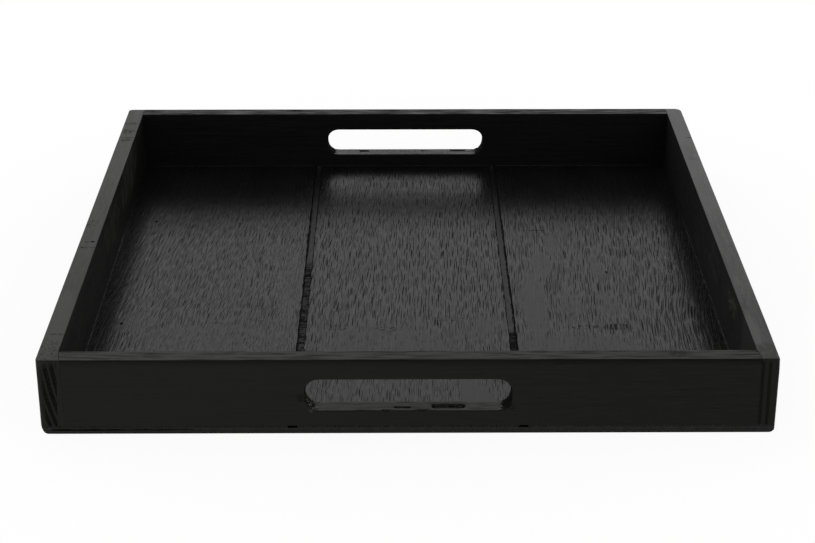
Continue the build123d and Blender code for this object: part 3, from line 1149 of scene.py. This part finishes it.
class TRAY_OT_side_boards(Operator):
    """Builds the two side boards, with their worn corners and eased rims"""

    bl_idname = "tray.side_boards"
    bl_label = "Side boards"

    def execute(self, context):
        sizes, finish = context.scene.tray_sizes, context.scene.tray_finish
        for number, (name, side) in enumerate((("left", -1), ("right", 1))):
            low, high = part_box(f"{name}_side_board")
            rim = sizes.rim_round * RIM_SHARES
            xs = stations(low.x, high.x, CLOSE_STEP, rim)
            ys = stations(low.y, high.y, LONG_STEP, BOARD_END_STEPS)
            zs = stations(low.z, high.z, LONG_STEP, rim)
            board = sew(f"stained_{name}_side_board", box_sheets(xs, ys, zs))
            points = points_of(board)
            self.wear_edges(points, low, high, side, SIDE_RIMS[name], sizes)
            wear_low_corners(points)
            move_points(board, points)
            look = BOARD_LOOKS[name]
            stain = known(f"{name}_side_wood", board_material, finish, Y, low, high, look, 20.0 * number)
            finish_board(board, f"{name}_side_board", Y, 1.0 + number, stain)
        return {"FINISHED"}

    def wear_edges(self, points, low, high, side, rim_shape, sizes):
        """Rounds a side board's edges, leans its rim in at the front, and moves its joint line there."""
        outer, inner, top, bottom = (X, side), (X, -side), (Z, 1), (Z, -1)
        rim_outside, lean = (value * MM for value in rim_shape)
        front_wear = smooth_step(-points[:, Y], 150 * MM, 200 * MM)
        outer_depth = np.abs(side * cad_high.x - points[:, X])
        ease(points, low, high, top, outer, rim_outside)
        ease(points, low, high, top, inner, 0.7 * sizes.rim_round)
        for end in (-1, 1):
            ease(points, low, high, top, (Y, end), sizes.rim_round)
            ease(points, low, high, inner, (Y, end), sizes.joint_round)
            ease(points, low, high, outer, (Y, end), CORNER_ROUNDS[side, end] * MM)
        ease(points, low, high, bottom, outer, sizes.joint_round)
        lean_in = smooth_step(points[:, Z], high.z - 8 * MM, high.z + 1.5 * MM)
        points[:, X] -= side * lean * front_wear * lean_in * smooth_step(-outer_depth, -8 * MM, 0)
        points[:, X] += joint_shift(points, high.x - low.x) * smooth_step(outer_depth, 3 * MM, 11 * MM)


# How full a slot's two ends are: 2 makes them half circles, and more makes them squarer
SLOT_FULLNESS = 2.6

# How far beyond a slot's ends the points of the board's faces follow it
SLOT_MARGIN = 12 * MM

# Shares of the way from a slot's edge to the rest of the face at which the face has points
SPOKE_SHARES = np.array([0, 0.03, 0.09, 0.2, 0.36, 0.56, 0.78, 1.0])

# Where the cutter tore pits in the slots' lower sides: middle, reach along X and Y, and depth
SLOT_PITS = {
    "front": [
        ((21.8, -194.9), (8.8, 2.6), 1.3),
        ((-3.2, -196.2), (4.4, 0.9), 0.9),
        ((-11.5, -199.6), (2.6, 0.8), 0.5),
        ((8.0, -199.5), (3.4, 0.7), 0.45),
    ],
    "back": [
        ((-30.0, 196.4), (3.2, 1.7), 0.9),
        ((38.5, 197.4), (5.6, 1.7), 1.0),
        ((13.0, 195.0), (1.5, 2.2), 0.5),
    ],
}

# How ragged the slots' left and right ends are
SLOT_RAGS = {"front": (1.0, 0.5), "back": (0.7, 1.0)}


def slot_measures(low, sizes):
    """Half the length of a slot's straight part, the height of its middle, and the radius of its ends."""
    radius = sizes.slot_height / 2
    return sizes.slot_length / 2 - radius, low.z + sizes.wood_below_slot + radius, radius


def slot_spokes(xs, zs, half_straight, middle):
    """The points round a rectangle, with the slot's centre and direction that belong to each."""
    straight = xs[np.abs(xs) <= half_straight + 1e-7]
    beyond = xs[xs > half_straight + 1e-7]
    bottom, top = zs[0], zs[-1]
    rim, centres, ways = [], [], []
    for side in (-1, 1):
        # Along the top to the left and down that end, then along the bottom to the right and up that end
        level = top if side < 0 else bottom
        for x in straight[::side]:
            rim.append((x, level))
            centres.append((x, middle))
            ways.append((0.0, -side))
        round_end = (
            [(side * x, level) for x in beyond]
            + [(side * beyond[-1], z) for z in (zs[-2:0:-1] if side < 0 else zs[1:-1])]
            + [(side * x, bottom + top - level) for x in beyond[::-1]]
        )
        for number, spot_on_rim in enumerate(round_end):
            angle = math.pi * (number + 1) / (len(round_end) + 1) + (math.pi / 2) * (1 if side < 0 else 3)
            rim.append(spot_on_rim)
            centres.append((side * half_straight, middle))
            way = np.array([math.cos(angle), math.sin(angle)])
            ways.append(way / np.linalg.norm(way, SLOT_FULLNESS))
    return tuple(np.array(found + found[:1]) for found in (rim, centres, ways))


def slot_tunnel(low, high, centres, ways, radius, edge_round):
    """The sheet of points through a slot, with its rounded edges at the board's two faces."""
    turn = np.linspace(0, math.pi / 2, 5)
    rise, sink = edge_round * (1 - np.cos(turn)), edge_round * (1 - np.sin(turn))
    across = stations(low.y + edge_round, high.y - edge_round, 0.45 * MM)
    ys = np.concatenate([low.y + rise[:-1], across, (high.y - rise[:-1])[::-1]])
    offsets = np.concatenate([sink[:-1], np.zeros(len(across)), sink[:-1][::-1]])
    spread = centres[None] + (radius + offsets)[:, None, None] * ways[None]
    depth = np.broadcast_to(ys[:, None], spread.shape[:2])
    return np.stack([spread[..., 0], depth, spread[..., 1]], -1)


def slotted_sheets(low, high, sizes):
    """Sheets over a board with a slot through it. Near the slot, those of its faces follow the slot."""
    half_straight, middle, radius = slot_measures(low, sizes)
    patch = sizes.slot_length / 2 + SLOT_MARGIN
    rim = sizes.rim_round * RIM_SHARES
    xs = runs(
        stations(low.x, -patch, LONG_STEP, JOINT_STEPS),
        stations(-patch, -half_straight, 1.5 * MM),
        stations(-half_straight, half_straight, 1 * MM),
        stations(half_straight, patch, 1.5 * MM),
        stations(patch, high.x, LONG_STEP, JOINT_STEPS),
    )
    ys = stations(low.y, high.y, CLOSE_STEP, rim)
    zs = stations(low.z, high.z, 1.6 * MM, rim)
    bottom, top = len(rim), len(zs) - len(rim)
    left, right = (int(np.abs(xs - x).argmin()) for x in (-patch, patch))
    beside, between = zs[bottom:top], xs[left:right + 1]
    sheets = box_sheets(xs, ys, zs, "xXzZ")
    rim_points, centres, ways = slot_spokes(between, beside, half_straight, middle)
    start = centres + (radius + sizes.slot_round) * ways
    shares = SPOKE_SHARES[:, None, None]
    spread = start * (1 - shares) + rim_points * shares
    for y in (low.y, high.y):
        for part_xs, part_zs in (
            (xs, zs[:bottom + 1]), (xs, zs[top - 1:]), (xs[:left + 1], beside), (xs[right:], beside)
        ):
            sheets.append(sheet(part_xs, part_zs, lambda x, z: (x, y, z)))
        sheets.append(np.stack([spread[..., 0], np.full(spread.shape[:2], y), spread[..., 1]], -1))
    return [*sheets, slot_tunnel(low, high, centres, ways, radius, sizes.slot_round)]


class TRAY_OT_end_boards(Operator):
    """Builds the front and back boards round their hand slots, with the torn wood in the slots"""

    bl_idname = "tray.end_boards"
    bl_label = "End boards"

    def execute(self, context):
        sizes, finish = context.scene.tray_sizes, context.scene.tray_finish
        for number, (name, end) in enumerate((("front", -1), ("back", 1))):
            low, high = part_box(f"{name}_board")
            board = sew(f"stained_{name}_board", slotted_sheets(low, high, sizes))
            points = points_of(board)
            self.tear_slot(points, name, *slot_measures(low, sizes))
            self.ease_edges(points, low, high, end, sizes)
            if name == "front":
                reach = smooth_step(np.abs(points[:, X]), high.x - 12 * MM, high.x)
                points[:, X] += joint_shift(points, high.y - low.y) * reach
            move_points(board, points)
            look, seed = BOARD_LOOKS[name], 40.0 + 20 * number
            stain = known(f"{name}_wood", board_material, finish, X, low, high, look, seed)
            finish_board(board, f"{name}_board", X, 3.0 + number, stain)
        return {"FINISHED"}

    def tear_slot(self, points, name, half_straight, middle, radius):
        """Sinks the pits that the cutter tore in a slot's lower side, and roughens its ends."""
        x, y, z = points.T
        sill = middle - radius
        near = smooth_step(z, sill - 1.5 * MM, sill - 0.3 * MM) * (z < sill + 2 * MM)
        for (pit_x, pit_y), (reach_x, reach_y), depth in SLOT_PITS[name]:
            away_x, away_y = np.abs(x / MM - pit_x) / reach_x, np.abs(y / MM - pit_y) / reach_y
            away = (away_x**5 + away_y**5) ** 0.2 + 0.08 * mottle(5, x, y, 0.8 * MM, 0.8 * MM)
            points[:, Z] -= depth * MM * (1 - smooth_step(away, 0.8, 1.05)) * near
        in_tunnel = (z > sill - 0.05 * MM) & (z < sill + 2 * radius + 0.05 * MM)
        in_tunnel &= np.abs(x) < half_straight + radius + 0.05 * MM
        ragged = smooth_step(np.abs(x), half_straight - 2 * MM, half_straight + 4 * MM)
        ragged *= smooth_step(-z, -(sill + radius), -(sill + 0.4 * radius))
        ragged *= np.where(x < 0, *SLOT_RAGS[name])
        bite = 0.45 * MM * ragged * mottle(7, x + 0.7 * z, y, 1.1 * MM, 0.9 * MM) * in_tunnel
        points[:, X] += bite
        points[:, Z] -= np.abs(bite)

    def ease_edges(self, points, low, high, end, sizes):
        """Rounds a board's rim and its edges on the tray's outside."""
        ease(points, low, high, (Z, 1), (Y, end), sizes.rim_round)
        ease(points, low, high, (Z, 1), (Y, -end), 0.7 * sizes.rim_round)
        for side in (-1, 1):
            ease(points, low, high, (X, side), (Z, 1), sizes.joint_round)
            ease(points, low, high, (X, side), (Y, end), sizes.joint_round)
        ease(points, low, high, (Z, -1), (Y, end), sizes.joint_round)


class TRAY_OT_face_planks(Operator):
    """Builds the three planks that the grooves leave of the panel's face ply"""

    bl_idname = "tray.face_planks"
    bl_label = "Face planks"

    def execute(self, context):
        sizes, finish = context.scene.tray_sizes, context.scene.tray_finish
        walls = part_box("right_side_board")[0].x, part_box("back_board")[0].y
        for number, name in enumerate(("left", "middle", "right")):
            node = f"{name}_face_plank"
            low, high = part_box(node)
            at_wall = (low.x < -walls[X], high.x > walls[X])
            *sides, face, base = self.plank_sheets(low, high, walls, at_wall, sizes.finish_bead)
            plank = sew(f"stained_{node}", [*sides, face], [outline(base)])
            points = points_of(plank)
            on_face = points[:, Z] > high.z - 1e-6
            self.swell_at_walls(points, on_face, number, walls, at_wall, sizes.finish_bead)
            for side in (-1, 1):
                if at_wall[(side + 1) // 2]:
                    round_corners(points, low, high, side)
                else:
                    self.waver_edge(points, on_face, number, high.x if side > 0 else low.x)
            wear_low_corners(points)
            move_points(plank, points)
            stain = known(f"{name}_plank_wood", plank_material, finish, PLANK_LOOKS[name])
            wall_x, wall_y = (wall - sizes.finish_bead for wall in walls)
            run_tree(
                plank, known_tree(pored_veneer_tree), pore_depth=sizes.pore_depth, face=high.z,
                wall_x=wall_x, wall_y=wall_y, material=stain,
            )
            finish_piece(plank, "face_veneer", node)
        return {"FINISHED"}

    def plank_sheets(self, low, high, walls, at_wall, bead_round):
        """Sheets over a plank, with closer points at the walls on it, its corners and its sawn edges."""
        bead = bead_round * BEAD_SHARES
        left, right = max(low.x, -walls[X]), min(high.x, walls[X])
        xs = np.concatenate(
            [
                low.x + np.concatenate([[0], PLANK_CORNER_STEPS]) if at_wall[0] else [],
                left + np.concatenate([[0], bead if at_wall[0] else SAWN_EDGE_STEPS]),
                stations(left + bead[-1], right - bead[-1], 0.46 * MM)[1:-1],
                right - np.concatenate([[0], bead if at_wall[1] else SAWN_EDGE_STEPS])[::-1],
                high.x - np.concatenate([[0], PLANK_CORNER_STEPS])[::-1] if at_wall[1] else [],
            ]
        )
        ys = runs(
            np.concatenate([[low.y], low.y + PLANK_CORNER_STEPS, [-walls[Y]]]),
            stations(-walls[Y], walls[Y], 2.2 * MM, bead),
            np.concatenate([[walls[Y]], high.y - PLANK_CORNER_STEPS[::-1], [high.y]]),
        )
        return box_sheets(xs, ys, np.array([low.z, high.z]), "xXyYZz")

    def swell_at_walls(self, points, on_face, number, walls, at_wall, bead_round):
        """Raises the bead of finish in the corner between a plank's face and the walls on it."""
        for axis, present in ((X, any(at_wall)), (Y, True)):
            gap = walls[axis] - np.abs(points[:, axis])
            uneven = 0.78 + 0.22 * wander(15 + number + 5 * axis, points[:, Y - axis], 9 * MM)
            radius = bead_round * uneven
            swell = radius * (1 - np.sqrt(1 - (1 - np.clip(gap / radius, 0, 1)) ** 2))
            points[:, Z] += np.where(on_face & present & (gap >= -1e-7), swell, 0)

    def waver_edge(self, points, on_face, number, edge_x):
        """Lets a plank's sawn edge waver, and wears it a little."""
        near = 1 - smooth_step(np.abs(points[:, X] - edge_x), 0, 1.2 * MM)
        stray = 0.22 * wander(10 + number, points[:, Y], 7 * MM)
        stray += 0.12 * wander(20 + number, points[:, Y], 1.6 * MM)
        points[:, X] += stray * MM * near
        points[:, Z] -= 0.12 * MM * np.where(on_face, near**6, 0)


# The split along the core's front edge: height, half width and depth, and where along X it fades out
SPLIT_HEIGHT = 2.7 * MM
SPLIT_REACH = 0.42 * MM
SPLIT_DEPTH = 0.7 * MM
SPLIT_FADES = (-150 * MM, -90 * MM)

# Heights and distances from the edges at which the back ply is cut, in millimetres
PLY_CUT_HEIGHTS = (0.03, 0.1, 0.2, 0.35, 0.6, 0.9)
PLY_CUT_DEPTHS = (0.8, 1.6, 2.4, 3.3, 4.2, 5.1, 6.5, 9.0)


class TRAY_OT_inner_plies(Operator):
    """Builds the core ply, torn in the grooves and split along its front edge, and the back ply"""

    bl_idname = "tray.inner_plies"
    bl_label = "Inner plies"

    def execute(self, context):
        finish = context.scene.tray_finish
        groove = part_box("middle_face_plank")[1].x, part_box("right_face_plank")[0].x
        core = self.dress_core_ply(*groove)
        core.data.materials.append(known("cross_grain_wood", core_material, finish, *groove))
        finish_piece(core, "core_veneer", "core_ply")
        back = self.dress_back_ply()
        back.data.materials.append(known("back_ply_wood", back_material, finish))
        finish_piece(back, "back_veneer", "back_ply")
        return {"FINISHED"}

    def dress_core_ply(self, groove_low, groove_high):
        """The core ply, with torn groove floors, a split front edge and rounded corners."""
        low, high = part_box("core_ply")
        groove = stations(groove_low - 0.5 * MM, groove_high + 0.5 * MM, 0.45 * MM, GROOVE_EDGE_STEPS)
        outer = stations(groove_high + 0.5 * MM, high.x, 3 * MM, CORE_CORNER_STEPS)
        xs = runs(-outer[::-1], -groove[::-1], np.linspace(-groove[0], groove[0], 9), groove, outer)
        ys = stations(low.y, high.y, 0.7 * MM)
        zs = np.linspace(low.z, high.z, 13)
        *sides, face, base = box_sheets(xs, ys, zs, "xXyYZz")
        core = sew("stained_core_ply", [*sides, face], [outline(base)])
        points = points_of(core)
        before = points.T.copy()
        self.tear_grooves(points, before, high, groove_low, groove_high)
        self.split_front_edge(points, before, low)
        for side in (-1, 1):
            round_corners(points, low, high, side)
        wear_low_corners(points)
        move_points(core, points)
        return core

    def tear_grooves(self, points, before, high, groove_low, groove_high):
        """Sinks the torn wood in the floors of the grooves, and the saw's cuts along their edges."""
        x, y, z = before
        in_groove = (np.abs(x) > groove_low - 0.3 * MM) & (np.abs(x) < groove_high + 0.3 * MM)
        limit = np.where(x > 0, TORN_FROM["right"], TORN_FROM["left"]) * MM
        over = np.where(x > 0, TORN_OVER["right"], TORN_OVER["left"]) * MM
        torn = 1 - smooth_step((y + 4 * MM * mottle(31, x, y, 2 * MM, 5 * MM) - limit) / over, -1, 1)
        tear = 0.22 + 0.2 * mottle(33, x, y, 4 * MM, 1.3 * MM) + 0.1 * mottle(35, x, y, 1.5 * MM, 0.8 * MM)
        waver = 0.25 * MM * wander(37, y + 0.5 * x, 4 * MM) + 0.1 * MM * wander(38, y, 1.5 * MM)
        outer_cut = smooth_step(np.abs(x) + waver, groove_high - 1.05 * MM, groove_high - 0.75 * MM)
        inner_cut = 1 - smooth_step(np.abs(x) + 0.5 * waver, groove_low + 0.3 * MM, groove_low + 0.55 * MM)
        sunk = np.maximum(torn * tear, np.maximum(0.45 * outer_cut, 0.35 * inner_cut)) * MM
        on_face = z > high.z - 1e-6
        points[:, Z] -= np.where(on_face & in_groove, sunk, 0)

    def split_front_edge(self, points, before, low):
        """Opens the split along the core's front edge, which is deepest towards the left."""
        x, y, z = before
        split_left = 1 - smooth_step(x, *SPLIT_FADES)
        split = np.exp(-(((z - SPLIT_HEIGHT - 0.12 * MM * wander(41, x, 9 * MM)) / SPLIT_REACH) ** 2))
        at_front = 1 - smooth_step(y, low.y, low.y + 0.4 * MM)
        split_left *= smooth_step(x, low.x + 3 * MM, low.x + 9 * MM)
        strength = 0.25 + 0.75 * split_left * (0.7 + 0.3 * wander(43, x, 5 * MM))
        points[:, Y] += SPLIT_DEPTH * split * strength * at_front

    def dress_back_ply(self):
        """A copy of the frame's back ply, with its brad holes, cut finely enough to wear its corners."""
        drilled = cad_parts["back_ply"]
        mesh = drilled.data.copy()
        mesh.transform(drilled.matrix_world)
        mesh.materials.clear()
        work = bmesh.new()
        work.from_mesh(mesh)
        bmesh.ops.remove_doubles(work, verts=work.verts, dist=0.001 * MM)
        cuts = [((0, 0, height * MM), (0, 0, 1)) for height in PLY_CUT_HEIGHTS]
        for depth in PLY_CUT_DEPTHS:
            for side in (-1, 1):
                cuts.append(((side * (cad_high.x - depth * MM), 0, 0), (1, 0, 0)))
                cuts.append(((0, side * (cad_high.y - depth * MM), 0), (0, 1, 0)))
        for place, across in cuts:
            everything = [*work.verts, *work.edges, *work.faces]
            bmesh.ops.bisect_plane(work, geom=everything, plane_co=place, plane_no=across, dist=1e-6)
        work.normal_update()
        # The frame's round lower edge, 1 mm in radius, is moved outwards to a sharper curve
        for point in work.verts:
            outward = point.normal.xy
            if point.normal.z < -0.02 and outward.length > 0.02 and point.co.z < 1 * MM:
                rise = min(1.0, 1 - point.co.z / MM)
                sharper = 1 - (1 - rise**4) ** 0.25
                point.co.xy += outward.normalized() * MM * max(0.0, 1 - math.sqrt(1 - rise**2) - sharper)
        work.to_mesh(mesh)
        work.free()
        back = bpy.data.objects.new("stained_back_ply", mesh)
        bpy.context.scene.collection.objects.link(back)
        points = points_of(back)
        wear_low_corners(points)
        move_points(back, points)
        return back


class TRAY_OT_stage(Operator):
    """Builds the floor, the soft lamps, the bright surround and the camera"""

    bl_idname = "tray.stage"
    bl_label = "Stage"

    def execute(self, context):
        studio = context.scene.tray_studio
        self.lay_floor(studio)
        self.light(context.scene, studio)
        self.place_camera(context.scene, studio)
        context.scene.view_settings.view_transform = "Standard"
        return {"FINISHED"}

    def lay_floor(self, studio):
        """A pale floor that is open under the tray, so that the tray's underside can be looked at."""
        reach, gap, drop = 4.0, 9 * MM, 0.2 * MM
        levels = [-reach, cad_low.x + gap, cad_high.x - gap, reach]
        low, middle, high = levels[:2], levels[1:3], levels[2:]
        floor = sew(
            "studio_floor",
            [
                sheet(xs, ys, lambda x, y: (x, y, -drop))
                for xs, ys in ((low, levels), (high, levels), (middle, low), (middle, high))
            ],
        )
        if floor.data.polygons[0].normal.z < 0:
            floor.data.flip_normals()
        made, w, place = material("pale_floor")
        path = w.node("ShaderNodeLightPath").outputs
        seen = w.most(path["Is Camera Ray"], path["Is Glossy Ray"], path["Is Transmission Ray"])
        x, y, z = w.split(place)
        away = w.vector("LENGTH", w.join(x, y, 0.0))
        white_share = w.fade(away, 0.22, 0.42, 0.93, 1.0)
        matt = w.node("ShaderNodeBsdfDiffuse", {"Color": (*studio.floor_colour, 1.0)})
        white = w.node("ShaderNodeEmission", {"Color": (1.0, 1.0, 1.0, 1.0), "Strength": 1.0})
        mixed = w.node(
            "ShaderNodeMixShader",
            {0: w.product(seen, white_share), 1: matt.outputs[0], 2: white.outputs[0]},
        )
        clear = w.node("ShaderNodeBsdfTransparent")
        below = w.node("ShaderNodeNewGeometry").outputs["Backfacing"]
        both = w.node("ShaderNodeMixShader", {0: below, 1: mixed.outputs[0], 2: clear.outputs[0]})
        w.node("ShaderNodeOutputMaterial", {"Surface": both.outputs[0]})
        floor.data.materials.append(made)

    def light(self, scene, studio):
        """An even surround that looks white, a little dimmer overhead, and two soft lamps."""
        world = bpy.data.worlds.new("studio_surround")
        world.use_nodes = True
        world.node_tree.nodes.clear()
        w = Wiring(world.node_tree)
        path = w.node("ShaderNodeLightPath").outputs
        up = w.split(w.node("ShaderNodeTexCoord").outputs["Generated"])[2]
        overhead = w.product(
            w.fade(up, 0.45, 0.95, 1.0, studio.zenith_light), w.fade(up, 0.34, 0.46, 0.82, 1.0)
        )
        plain = w.most(path["Is Camera Ray"], path["Is Transmission Ray"])
        seen = w.blend(plain, overhead, 1.0)
        looked_at = w.most(plain, path["Is Glossy Ray"])
        strength = w.blend(looked_at, studio.sky_light, seen)
        glow = w.node("ShaderNodeBackground", {"Color": (1.0, 1.0, 1.0, 1.0), "Strength": strength})
        w.node("ShaderNodeOutputWorld", {"Surface": glow.outputs[0]})
        scene.world = world
        lamps = {
            "broad_lamp": ((-0.7, 0.5, 1.5), 1.3, studio.lamp_power),
            "fill_lamp": ((1.1, -0.9, 1.2), 1.0, 0.45 * studio.lamp_power),
        }
        for name, (place, size, power) in lamps.items():
            light = bpy.data.lights.new(name, "AREA")
            light.shape = "SQUARE"
            light.size = size
            light.energy = power
            lamp = bpy.data.objects.new(name, light)
            lamp.location = place
            direction = -lamp.location
            lamp.rotation_euler = direction.to_track_quat("-Z", "Y").to_euler()
            scene.collection.objects.link(lamp)

    def place_camera(self, scene, studio):
        """The camera, at the photograph's angle."""
        lens = bpy.data.cameras.new("tray_camera")
        lens.sensor_fit = "HORIZONTAL"
        lens.sensor_width = 36.0
        lens.lens = studio.lens
        lens.clip_start = 0.05
        lens.clip_end = 50.0
        camera = bpy.data.objects.new("tray_camera", lens)
        camera.location = studio.camera_place
        camera.rotation_euler = (studio.camera_tilt, 0.0, studio.camera_turn)
        scene.collection.objects.link(camera)
        scene.camera = camera


# Brads and filler

def turned_piece(name, levels, settings):
    """Turns a piece from (height, radius) pairs and sets out its copies as the settings say."""
    mesh = bpy.data.meshes.new(name)
    points = [(0.0, 0.0, height) for height, radius in levels]
    mesh.from_pydata(points, [(number, number + 1) for number in range(len(points) - 1)], [])
    radius = mesh.attributes.new("radius", "FLOAT", "POINT")
    radius.data.foreach_set("value", [radius for height, radius in levels])
    piece = bpy.data.objects.new(name, mesh)
    bpy.context.scene.collection.objects.link(piece)
    run_tree(piece, known_tree(turned_rows_tree), **settings)
    return piece


# Brads: radius of the shank and height of the head, and the number in a row under a board
BASE_BRAD = (0.6 * MM, 0.5 * MM)
CORNER_BRAD = (0.7 * MM, 0.6 * MM)
BASE_BRADS_IN_A_ROW = 6


def brad_levels(length, shank, head_height, head, sink):
    """A brad's radii from its sunk head, at zero, down to its point."""
    top = -sink
    return [
        (top, 0.05 * head),
        (top + 0.02 * MM, 0.6 * head),
        (top, 0.92 * head),
        (top - 0.12 * MM, head),
        (top - head_height + 0.1 * MM, head),
        (top - head_height, 0.8 * head),
        (top - head_height - 0.3 * MM, shank),
        (top - length + 1.6 * MM, shank),
        (top - length, 0.08 * shank),
    ]


class TRAY_OT_base_brads(Operator):
    """Drives the rows of brads up through the panel"""

    bl_idname = "tray.base_brads"
    bl_label = "Base brads"

    def execute(self, context):
        sizes, finish = context.scene.tray_sizes, context.scene.tray_finish
        steel = known("brad_steel_wiped", steel_material, finish)
        for name in ("front", "back", "left", "right"):
            node = f"{name}_base_brads"
            low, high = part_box(node)
            head = min(high.x - low.x, high.y - low.y) / 2
            first = (low.x + head, low.y + head, 0.0)
            gaps = BASE_BRADS_IN_A_ROW - 1
            step = ((high.x - low.x - 2 * head) / gaps, (high.y - low.y - 2 * head) / gaps, 0.0)
            levels = [
                (-height, radius)
                for height, radius in brad_levels(high.z - low.z, *BASE_BRAD, head, low.z)
            ]
            brads = turned_piece(
                f"driven_{node}", levels,
                {
                    "start": first, "step": step, "count": BASE_BRADS_IN_A_ROW,
                    "row_step": (0.0, 0.0, 0.0), "rows": 1, "sides": sizes.brad_sides, "material": steel,
                },
            )
            finish_piece(brads, "brad_steel", node)
        return {"FINISHED"}


class TRAY_OT_corner_brads(Operator):
    """Drives two brads into each corner and covers their heads with filler"""

    bl_idname = "tray.corner_brads"
    bl_label = "Corner brads"

    def execute(self, context):
        sizes, finish = context.scene.tray_sizes, context.scene.tray_finish
        steel = known("brad_steel_wiped", steel_material, finish)
        filler = known("brad_filler", filler_material, finish)
        for side_name, side in (("left", -1), ("right", 1)):
            plug_low, plug_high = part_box(f"{side_name}_filler_plugs")
            outside = side * cad_high.x
            turn = (0.0, side * math.pi / 2, 0.0)
            for end_name in ("front", "back"):
                node = f"{end_name}_{side_name}_corner_brads"
                low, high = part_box(node)
                head = (high.y - low.y) / 2
                length = high.x - low.x
                sink = abs(outside - (high.x if side > 0 else low.x))
                rise = high.z - low.z - 2 * head
                brads = turned_piece(
                    f"driven_{node}", brad_levels(length, *CORNER_BRAD, head, sink),
                    {
                        "start": (outside, (low.y + high.y) / 2, low.z + head),
                        "step": (0.0, 0.0, rise), "count": 2, "row_step": (0.0, 0.0, 0.0), "rows": 1,
                        "turn": turn, "sides": sizes.brad_sides, "material": steel,
                    },
                )
                finish_piece(brads, "brad_steel", node)
            radius = (plug_high.z - plug_low.z - rise) / 2
            depth = plug_high.x - plug_low.x
            levels = [
                (0.0, 0.05 * radius), (-0.015 * MM, 0.55 * radius), (0.0, 0.9 * radius),
                (-0.06 * MM, radius), (-depth + 0.1 * MM, radius), (-depth, 0.85 * radius),
                (-depth, 0.05 * radius),
            ]
            plugs = turned_piece(
                f"set_{side_name}_filler_plugs", levels,
                {
                    "start": (outside, plug_low.y + radius, plug_low.z + radius),
                    "step": (0.0, 0.0, rise), "count": 2,
                    "row_step": (0.0, plug_high.y - plug_low.y - 2 * radius, 0.0), "rows": 2,
                    "turn": turn, "sides": sizes.brad_sides, "material": filler,
                },
            )
            finish_piece(plugs, "filler", f"{side_name}_filler_plugs")
        return {"FINISHED"}


class TRAY_PT_parts(Panel):
    """Lists the tray's parts, each with the button that builds it"""

    bl_idname = "TRAY_PT_parts"
    bl_label = "Stained serving tray"
    bl_space_type = "VIEW_3D"
    bl_region_type = "UI"
    bl_category = "Tray"

    def draw(self, context):
        for operator in OPERATORS:
            self.layout.operator(operator.bl_idname)
        for group, kind in GROUPS.items():
            box = self.layout.box()
            for name in kind.__annotations__:
                box.prop(getattr(context.scene, group), name)


GROUPS = {"tray_sizes": TraySizes, "tray_finish": TrayFinish, "tray_studio": TrayStudio}
OPERATORS = (
    TRAY_OT_stage,
    TRAY_OT_side_boards,
    TRAY_OT_end_boards,
    TRAY_OT_face_planks,
    TRAY_OT_inner_plies,
    TRAY_OT_base_brads,
    TRAY_OT_corner_brads,
)


def register():
    for group in (*GROUPS.values(), *OPERATORS, TRAY_PT_parts):
        bpy.utils.register_class(group)
    for name, group in GROUPS.items():
        setattr(bpy.types.Scene, name, PointerProperty(type=group))


def unregister():
    for name in GROUPS:
        delattr(bpy.types.Scene, name)
    for group in reversed((*GROUPS.values(), *OPERATORS, TRAY_PT_parts)):
        bpy.utils.unregister_class(group)


def main():
    register()
    bpy.ops.tray.stage()
    bpy.ops.tray.side_boards()
    bpy.ops.tray.end_boards()
    bpy.ops.tray.face_planks()
    bpy.ops.tray.inner_plies()
    bpy.ops.tray.base_brads()
    bpy.ops.tray.corner_brads()


if __name__ == "__main__":
    main()
